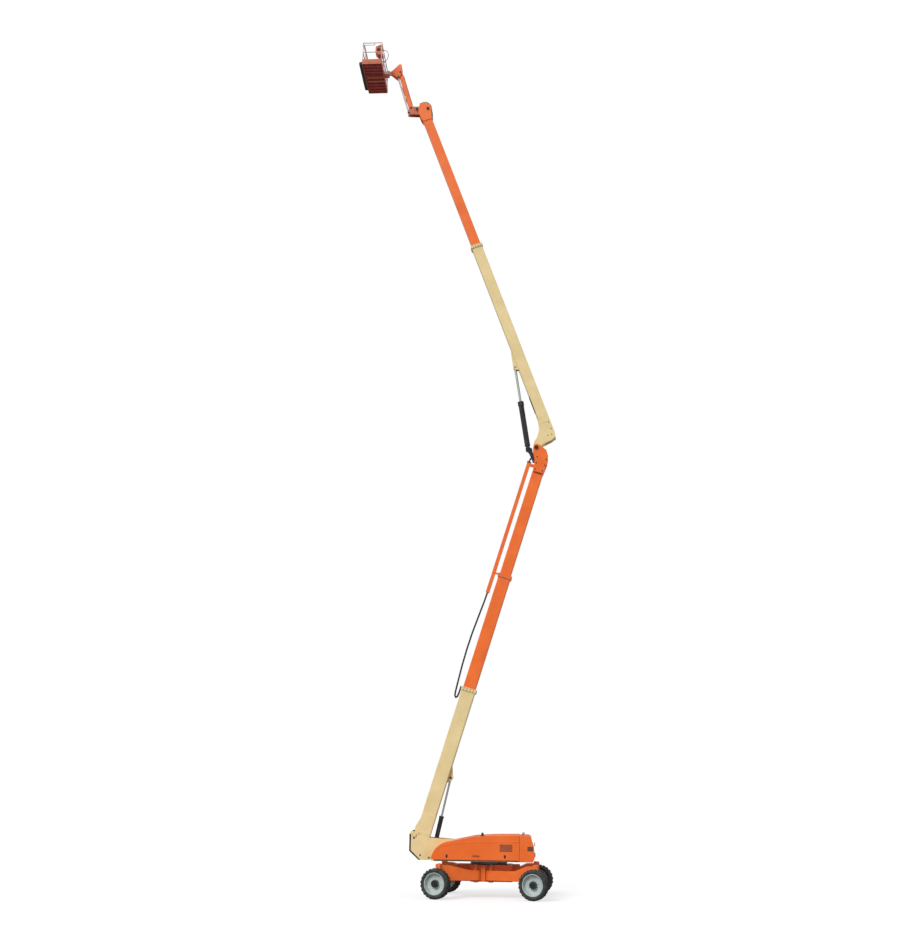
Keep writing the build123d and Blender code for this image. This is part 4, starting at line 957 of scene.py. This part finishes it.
caps_piece("bracket_fixings", black_paint, "bracket",
           ((jib_root.xz, BRACKET_OUT, 0.052, 3, 0.018),
            (pivot("jib_link_pivot").xz, BRACKET_OUT, 0.048, 3, 0.018),
            (bracket_middle.xz, BRACKET_OUT + 0.025, 0.095, 6, 0.026)))
caps_piece("boom_head_caps", black_paint, "main_fly_section", ((boom_head.xz, HEAD_FACE, 0.066, 6, 0.020),))
caps_piece("jib_head_fixings", black_paint, "head",
           ((jib_tip.xz, BRACKET_OUT, 0.050, 3, 0.018), (link_tip.xz, BRACKET_OUT, 0.046, 3, 0.018)))

for side, label in ((-1, "near"), (1, "far")):
    route = [main @ Vector((x, -side * HEAD_HOSE_SIDE, z)) for x, z in HEAD_ROUTE]
    soft_line("head_hose_" + label, route, 0.017, "main_fly_section")

jib_place = placed(jib_root, (jib_tip - jib_root).normalized(), Vector((0, -1, 0)))
for i, y in enumerate((-0.03, 0.0, 0.03)):
    route = [jib_place @ Vector((x, y, JIB_HOSE_RISE)) for x in JIB_HOSE_STATIONS]
    soft_line("jib_hose_%d" % (i + 1), route, 0.010, "jib")
straps = bmesh.new()
for x in STRAP_STATIONS:
    boxed(straps, jib_place, (x - 0.014, -0.055, JIB_HOSE_RISE - 0.015),
          (x + 0.014, 0.055, JIB_HOSE_RISE + 0.016), 0.003)
make_piece("jib_hose_straps", straps, black_paint, "jib")

# The platform: welded tube rails on a rim of folded plate, a ribbed floor, a gate and the
# operator's console. The floor has raised bars for grip.
TOE_DARK = (0.42, 0.105, 0.040)
TOE_LIGHT = (0.56, 0.150, 0.062)
GRIPS_ALONG = 11
GRIPS_ACROSS = 30

floor_metal = surface("floor_metal", (0.30, 0.046, 0.038), (0.42, 0.074, 0.062), 0.68, cloud=4.0)
panel_plastic = surface("panel_plastic", (0.008, 0.008, 0.009), (0.02, 0.02, 0.022), 0.6, cloud=10.0)
console_paint = surface("console_paint", (0.56, 0.110, 0.026), (0.70, 0.150, 0.040), 0.45, cloud=6.0)
dress(rail_paint, "platform_gate")
dress(floor_metal, "platform_floor")
dress(console_paint, "control_console")
dress(panel_plastic, "front_panel")

floor_low, floor_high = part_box("platform_floor")
RAIL_TOP = floor_high.z + 1.079
RIM_LOW = floor_high.z - 0.110
RIM_TOP = floor_high.z + 0.150
RIM_OUT = floor_low.x - 0.0203
RIM_IN = floor_high.x + 0.0203
RIM_HALF = 1.220
TUBE_HALF = 0.021


def frame_paint():
    """The rails' colour above the rim's upper edge, and the toe boards' colour below it."""
    stuff = surface("platform_paint", RAIL_DARK, RAIL_LIGHT, 0.42, cloud=3.0, coat=0.08)
    tree = stuff.node_tree
    link = tree.links.new
    base = tree.nodes["Principled BSDF"].inputs["Base Color"]
    rails = base.links[0].from_socket
    where = add_node(tree, "TexCoord").outputs["Object"]
    parts = add_node(tree, "SeparateXYZ")
    link(where, parts.inputs[0])
    edge = add_node(tree, "MapRange", {"From Min": RIM_TOP - 0.002, "From Max": RIM_TOP + 0.002})
    link(parts.outputs["Z"], edge.inputs["Value"])
    blend = tree.nodes.new("ShaderNodeMix")
    blend.data_type = "RGBA"
    link(edge.outputs["Result"], blend.inputs["Factor"])
    link(blend_tones(tree, where, 4.0, 5.0, TOE_DARK, TOE_LIGHT), blend.inputs[6])
    link(rails, blend.inputs[7])
    link(blend.outputs[2], base)
    return stuff


dress(frame_paint(), "platform_frame")

grips = bmesh.new()
for i in range(GRIPS_ALONG):
    for j in range(GRIPS_ACROSS):
        x = floor_low.x + (floor_high.x - floor_low.x) * (i + 0.5) / GRIPS_ALONG
        y = floor_low.y + (floor_high.y - floor_low.y) * (j + 0.5) / GRIPS_ACROSS
        lean = math.pi / 4 if (i + j) % 2 else -math.pi / 4
        boxed(grips, turned((x, y, floor_high.z), lean, "Z"), (-0.020, -0.005, -0.001), (0.020, 0.005, 0.003),
              0.0015)
make_piece("floor_grips", grips, floor_metal, "platform")

# The toe boards: folded plates welded round the rim, open in the middle of the inner side for
# the rotator's mount.
BOARD_LOW = RIM_LOW + 0.060
BOARD_TOP = RIM_TOP - 0.004
SCREW_HEIGHT = RIM_TOP - 0.03
BOARD_FACE = 0.004
# Columns: the rim's face, the way it looks, half the gap in its middle.
LONG_SIDES = ((RIM_OUT, -1, 0.0), (RIM_IN, 1, 0.10))

toe_paint = surface("toe_paint", TOE_DARK, TOE_LIGHT, 0.46, cloud=4.0)

bands = bmesh.new()
for x, out, gap in LONG_SIDES:
    for y0, y1 in ((-RIM_HALF + 0.004, -gap), (gap, RIM_HALF - 0.004)):
        boxed(bands, UPRIGHT, (x - 0.001 * out, y0, BOARD_LOW), (x + BOARD_FACE * out, y1, BOARD_TOP))
paired_boxes(bands, UPRIGHT, (RIM_OUT + 0.004, RIM_HALF - 0.001, BOARD_LOW),
             (RIM_IN - 0.004, RIM_HALF + BOARD_FACE, BOARD_TOP))
make_piece("toe_bands", bands, toe_paint, "platform")

# The grab rail: a thinner steel tube inside the top rail, on stubs welded to the posts.
GRAB_Z = RAIL_TOP - 0.075
GRAB_IN = 0.060
POST_Y = RIM_HALF - TUBE_HALF
NEAR_END = (-3.97, -POST_Y + GRAB_IN, GRAB_Z)
grab_out = RIM_OUT + TUBE_HALF + GRAB_IN
grab_in = RIM_IN - TUBE_HALF - GRAB_IN
# Columns: the tube's place along the machine, its post's, and where it starts and ends across.
GRAB_RUNS = ((grab_out, RIM_OUT + TUBE_HALF, -POST_Y + 0.047, POST_Y / 3),
             (grab_in, RIM_IN - TUBE_HALF, -0.64, 0.28))

grab_rail = bmesh.new()
round_bar(grab_rail, (grab_out - 0.013, -POST_Y + GRAB_IN, GRAB_Z), NEAR_END, 0.0145)
round_bar(grab_rail, NEAR_END, (NEAR_END[0], -POST_Y, RAIL_TOP - 0.004), 0.013)
for x, post, y0, y1 in GRAB_RUNS:
    round_bar(grab_rail, (x, y0, GRAB_Z), (x, y1, GRAB_Z), 0.016)
    for y in (-POST_Y / 3, y1 - 0.030):
        round_bar(grab_rail, (post, y, GRAB_Z), (x, y, GRAB_Z), 0.012)
make_piece("grab_rail", grab_rail, rail_paint, "platform")

# The floor's bearers: two channels of folded steel across the rim's underside, which carry
# the floor to the rotator's mount. Bolts hold them from below.
BEARER_IN = 0.120
BEARER_OUT = 0.185
BEARER_LOW = RIM_LOW - 0.055

bearers = bmesh.new()
paired_boxes(bearers, UPRIGHT, (RIM_OUT + 0.10, BEARER_IN, BEARER_LOW),
             (RIM_IN + 0.010, BEARER_OUT, RIM_LOW + 0.006), 0.006)
for side in (-1, 1):
    for x in (RIM_OUT + 0.16, (RIM_OUT + RIM_IN) / 2, RIM_IN - 0.10):
        hex_head(bearers, (x, side * (BEARER_IN + BEARER_OUT) / 2, BEARER_LOW), (0, 0, -1), 0.024, 0.014)
make_piece("floor_bearers", bearers, toe_paint, "platform")

# The toe boards' screws, in a row under their upper edge.
heads = bmesh.new()
for x, out, _ in LONG_SIDES:
    for y in (-1.1, -0.85, -0.5, -0.2, 0.2, 0.5, 0.85, 1.1):
        hex_head(heads, (x + BOARD_FACE * out, y, SCREW_HEIGHT), (out, 0, 0), 0.016, 0.008)
end_screws = [(x, SCREW_HEIGHT) for x in (-4.45, -4.20, -3.95, -3.71)]
paired_heads(heads, end_screws, RIM_HALF + BOARD_FACE, 0.016, 0.008)
make_piece("rim_heads", heads, bare_steel, "platform")

# The console: a folded box with a raised panel of black plastic on its slanted face. Two
# joysticks, a row of toggles and a red stop button stand on it, and a small box on its side.
CONSOLE_Y = -0.880
TOGGLES = 7
TOGGLE_STEP = 0.043
# A joystick's boot, stem and knob. Columns: from and to over the panel, radius at each.
JOYSTICK = ((0.004, 0.024, 0.026, 0.015), (0.004, 0.066, 0.006, 0.006), (0.054, 0.096, 0.012, 0.016))

signal_red = surface("signal_red", (0.50, 0.012, 0.010), (0.62, 0.020, 0.016), 0.35, cloud=30.0)

console_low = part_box("control_console")[0]
panel_head = Vector((RIM_IN - 0.1323, 0, RAIL_TOP - 0.010))
panel_foot = panel_head + Vector((-0.210, 0, -0.160))
panel_middle = (panel_head + panel_foot) / 2 + Vector((0, CONSOLE_Y, 0))
panel = placed(panel_middle, (panel_foot - panel_head).normalized(), Vector((0, -1, 0)))


def standing_bar(shape, x, y, low, high, radius, end_radius, sides, lean=0.0):
    """A round bar that stands on the console's panel."""
    foot, top = panel @ Vector((x, y, low)), panel @ Vector((x + lean, y, high))
    round_bar(shape, foot, top, radius, end_radius, sides)


controls = bmesh.new()
boxed(controls, panel, (-0.118, -0.172, -0.002), (0.118, 0.172, 0.005), 0.002)
for side in (-1, 1):
    for step in JOYSTICK:
        standing_bar(controls, 0.040, side * 0.105, *step, 24)
for i in range(TOGGLES):
    y = -0.130 + TOGGLE_STEP * i
    standing_bar(controls, -0.060, y, 0.004, 0.010, 0.008, 0.007, 16)
    standing_bar(controls, -0.060, y, 0.004, 0.026, 0.003, 0.0045, 12, lean=0.004)
make_piece("console_controls", controls, panel_plastic, "platform")
stop = bmesh.new()
standing_bar(stop, -0.010, 0, 0.004, 0.020, 0.011, 0.011, 24)
standing_bar(stop, -0.010, 0, 0.018, 0.032, 0.021, 0.017, 28)
make_piece("stop_button", stop, signal_red, "platform")
side_box = bmesh.new()
boxed(side_box, UPRIGHT, (console_low.x + 0.08, -1.088, RAIL_TOP - 0.38),
      (console_low.x + 0.24, -1.068, RAIL_TOP - 0.22), 0.005)
make_piece("console_side_box", side_box, panel_plastic, "platform")

# The lanyard clamps and the gate's latch: yellow plastic blocks clamped round four of the
# posts, and a black steel plate with a round bolt on the gate.
# Columns: the post's place along the machine and across it.
CLAMPED_POSTS = ((RIM_OUT + TUBE_HALF, -0.70), (RIM_OUT + TUBE_HALF, 0.70), (RIM_IN - TUBE_HALF, 0.70),
                 (RIM_IN - TUBE_HALF, -0.30))

signal_yellow = surface("signal_yellow", (0.72, 0.45, 0.015), (0.82, 0.53, 0.030), 0.38, cloud=30.0)

clamps = bmesh.new()
for x, y in CLAMPED_POSTS:
    boxed(clamps, Matrix.Translation((x, y, RAIL_TOP - 0.5)), (-0.026, -0.020, -0.030),
          (0.026, 0.020, 0.030), 0.004)
make_piece("lanyard_clamps", clamps, signal_yellow, "platform")

gate_low, gate_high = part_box("platform_gate")
latch_at = Vector((gate_low.x + 0.10, gate_low.y, gate_high.z - 0.37))
latch = bmesh.new()
boxed(latch, Matrix.Translation(latch_at), (-0.04, -0.012, -0.03), (0.04, 0.010, 0.03), 0.004)
round_bar(latch, latch_at - Vector((0, 0.03, 0)), latch_at, 0.008)
make_piece("gate_latch", latch, black_paint, "gate")

# The front panel's ribs: twelve shallow ribs moulded on the black panel's slanted underside.
RIBS = 12

panel_low, panel_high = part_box("front_panel")
underside = turned((panel_high.x, 0, panel_low.z), math.atan2(0.03, 0.16), "Y")
ribs = bmesh.new()
for i in range(RIBS):
    y = panel_low.y + (panel_high.y - panel_low.y) * (i + 0.5) / RIBS
    boxed(ribs, underside, (-0.150, y - 0.008, -0.004), (-0.015, y + 0.008, 0.002), 0.002)
make_piece("panel_ribs", ribs, panel_plastic, "platform")

# The platform's hose: black rubber, 26 mm thick. It hangs in one loop from the console's gland
# to a clamp on the rim, and a steel nut holds each end.
HOSE_RADIUS = 0.013
HOSE_STAND = 0.022
# The hose's route. Columns: out from the rim, across the machine, height over the floor.
HOSE_ROUTE = ((HOSE_STAND, -1.020, 0.770), (0.130, -1.020, 0.770), (0.228, -1.028, 0.706),
              (0.285, -1.042, 0.590), (0.300, -1.052, 0.450), (0.278, -1.050, 0.310),
              (0.215, -1.036, 0.182), (0.128, -1.018, 0.115), (HOSE_STAND, -1.018, 0.115))

hose_rubber = surface("hose_rubber", (0.030, 0.034, 0.028), (0.085, 0.095, 0.080), 0.5, cloud=30.0)

hose_points = [(RIM_IN + out, y, floor_high.z + height) for out, y, height in HOSE_ROUTE]
hose = soft_line("platform_hose_line", hose_points, HOSE_RADIUS, "platform", hose_rubber)
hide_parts("platform_hose")

nuts = bmesh.new()
for spot in (Vector(hose_points[0]), Vector(hose_points[-1])):
    round_bar(nuts, spot - Vector((0.012, 0, 0)), spot + Vector((0.016, 0, 0)), 0.0255, 0.024, 6)
make_piece("hose_nuts", nuts, bare_steel, "platform")
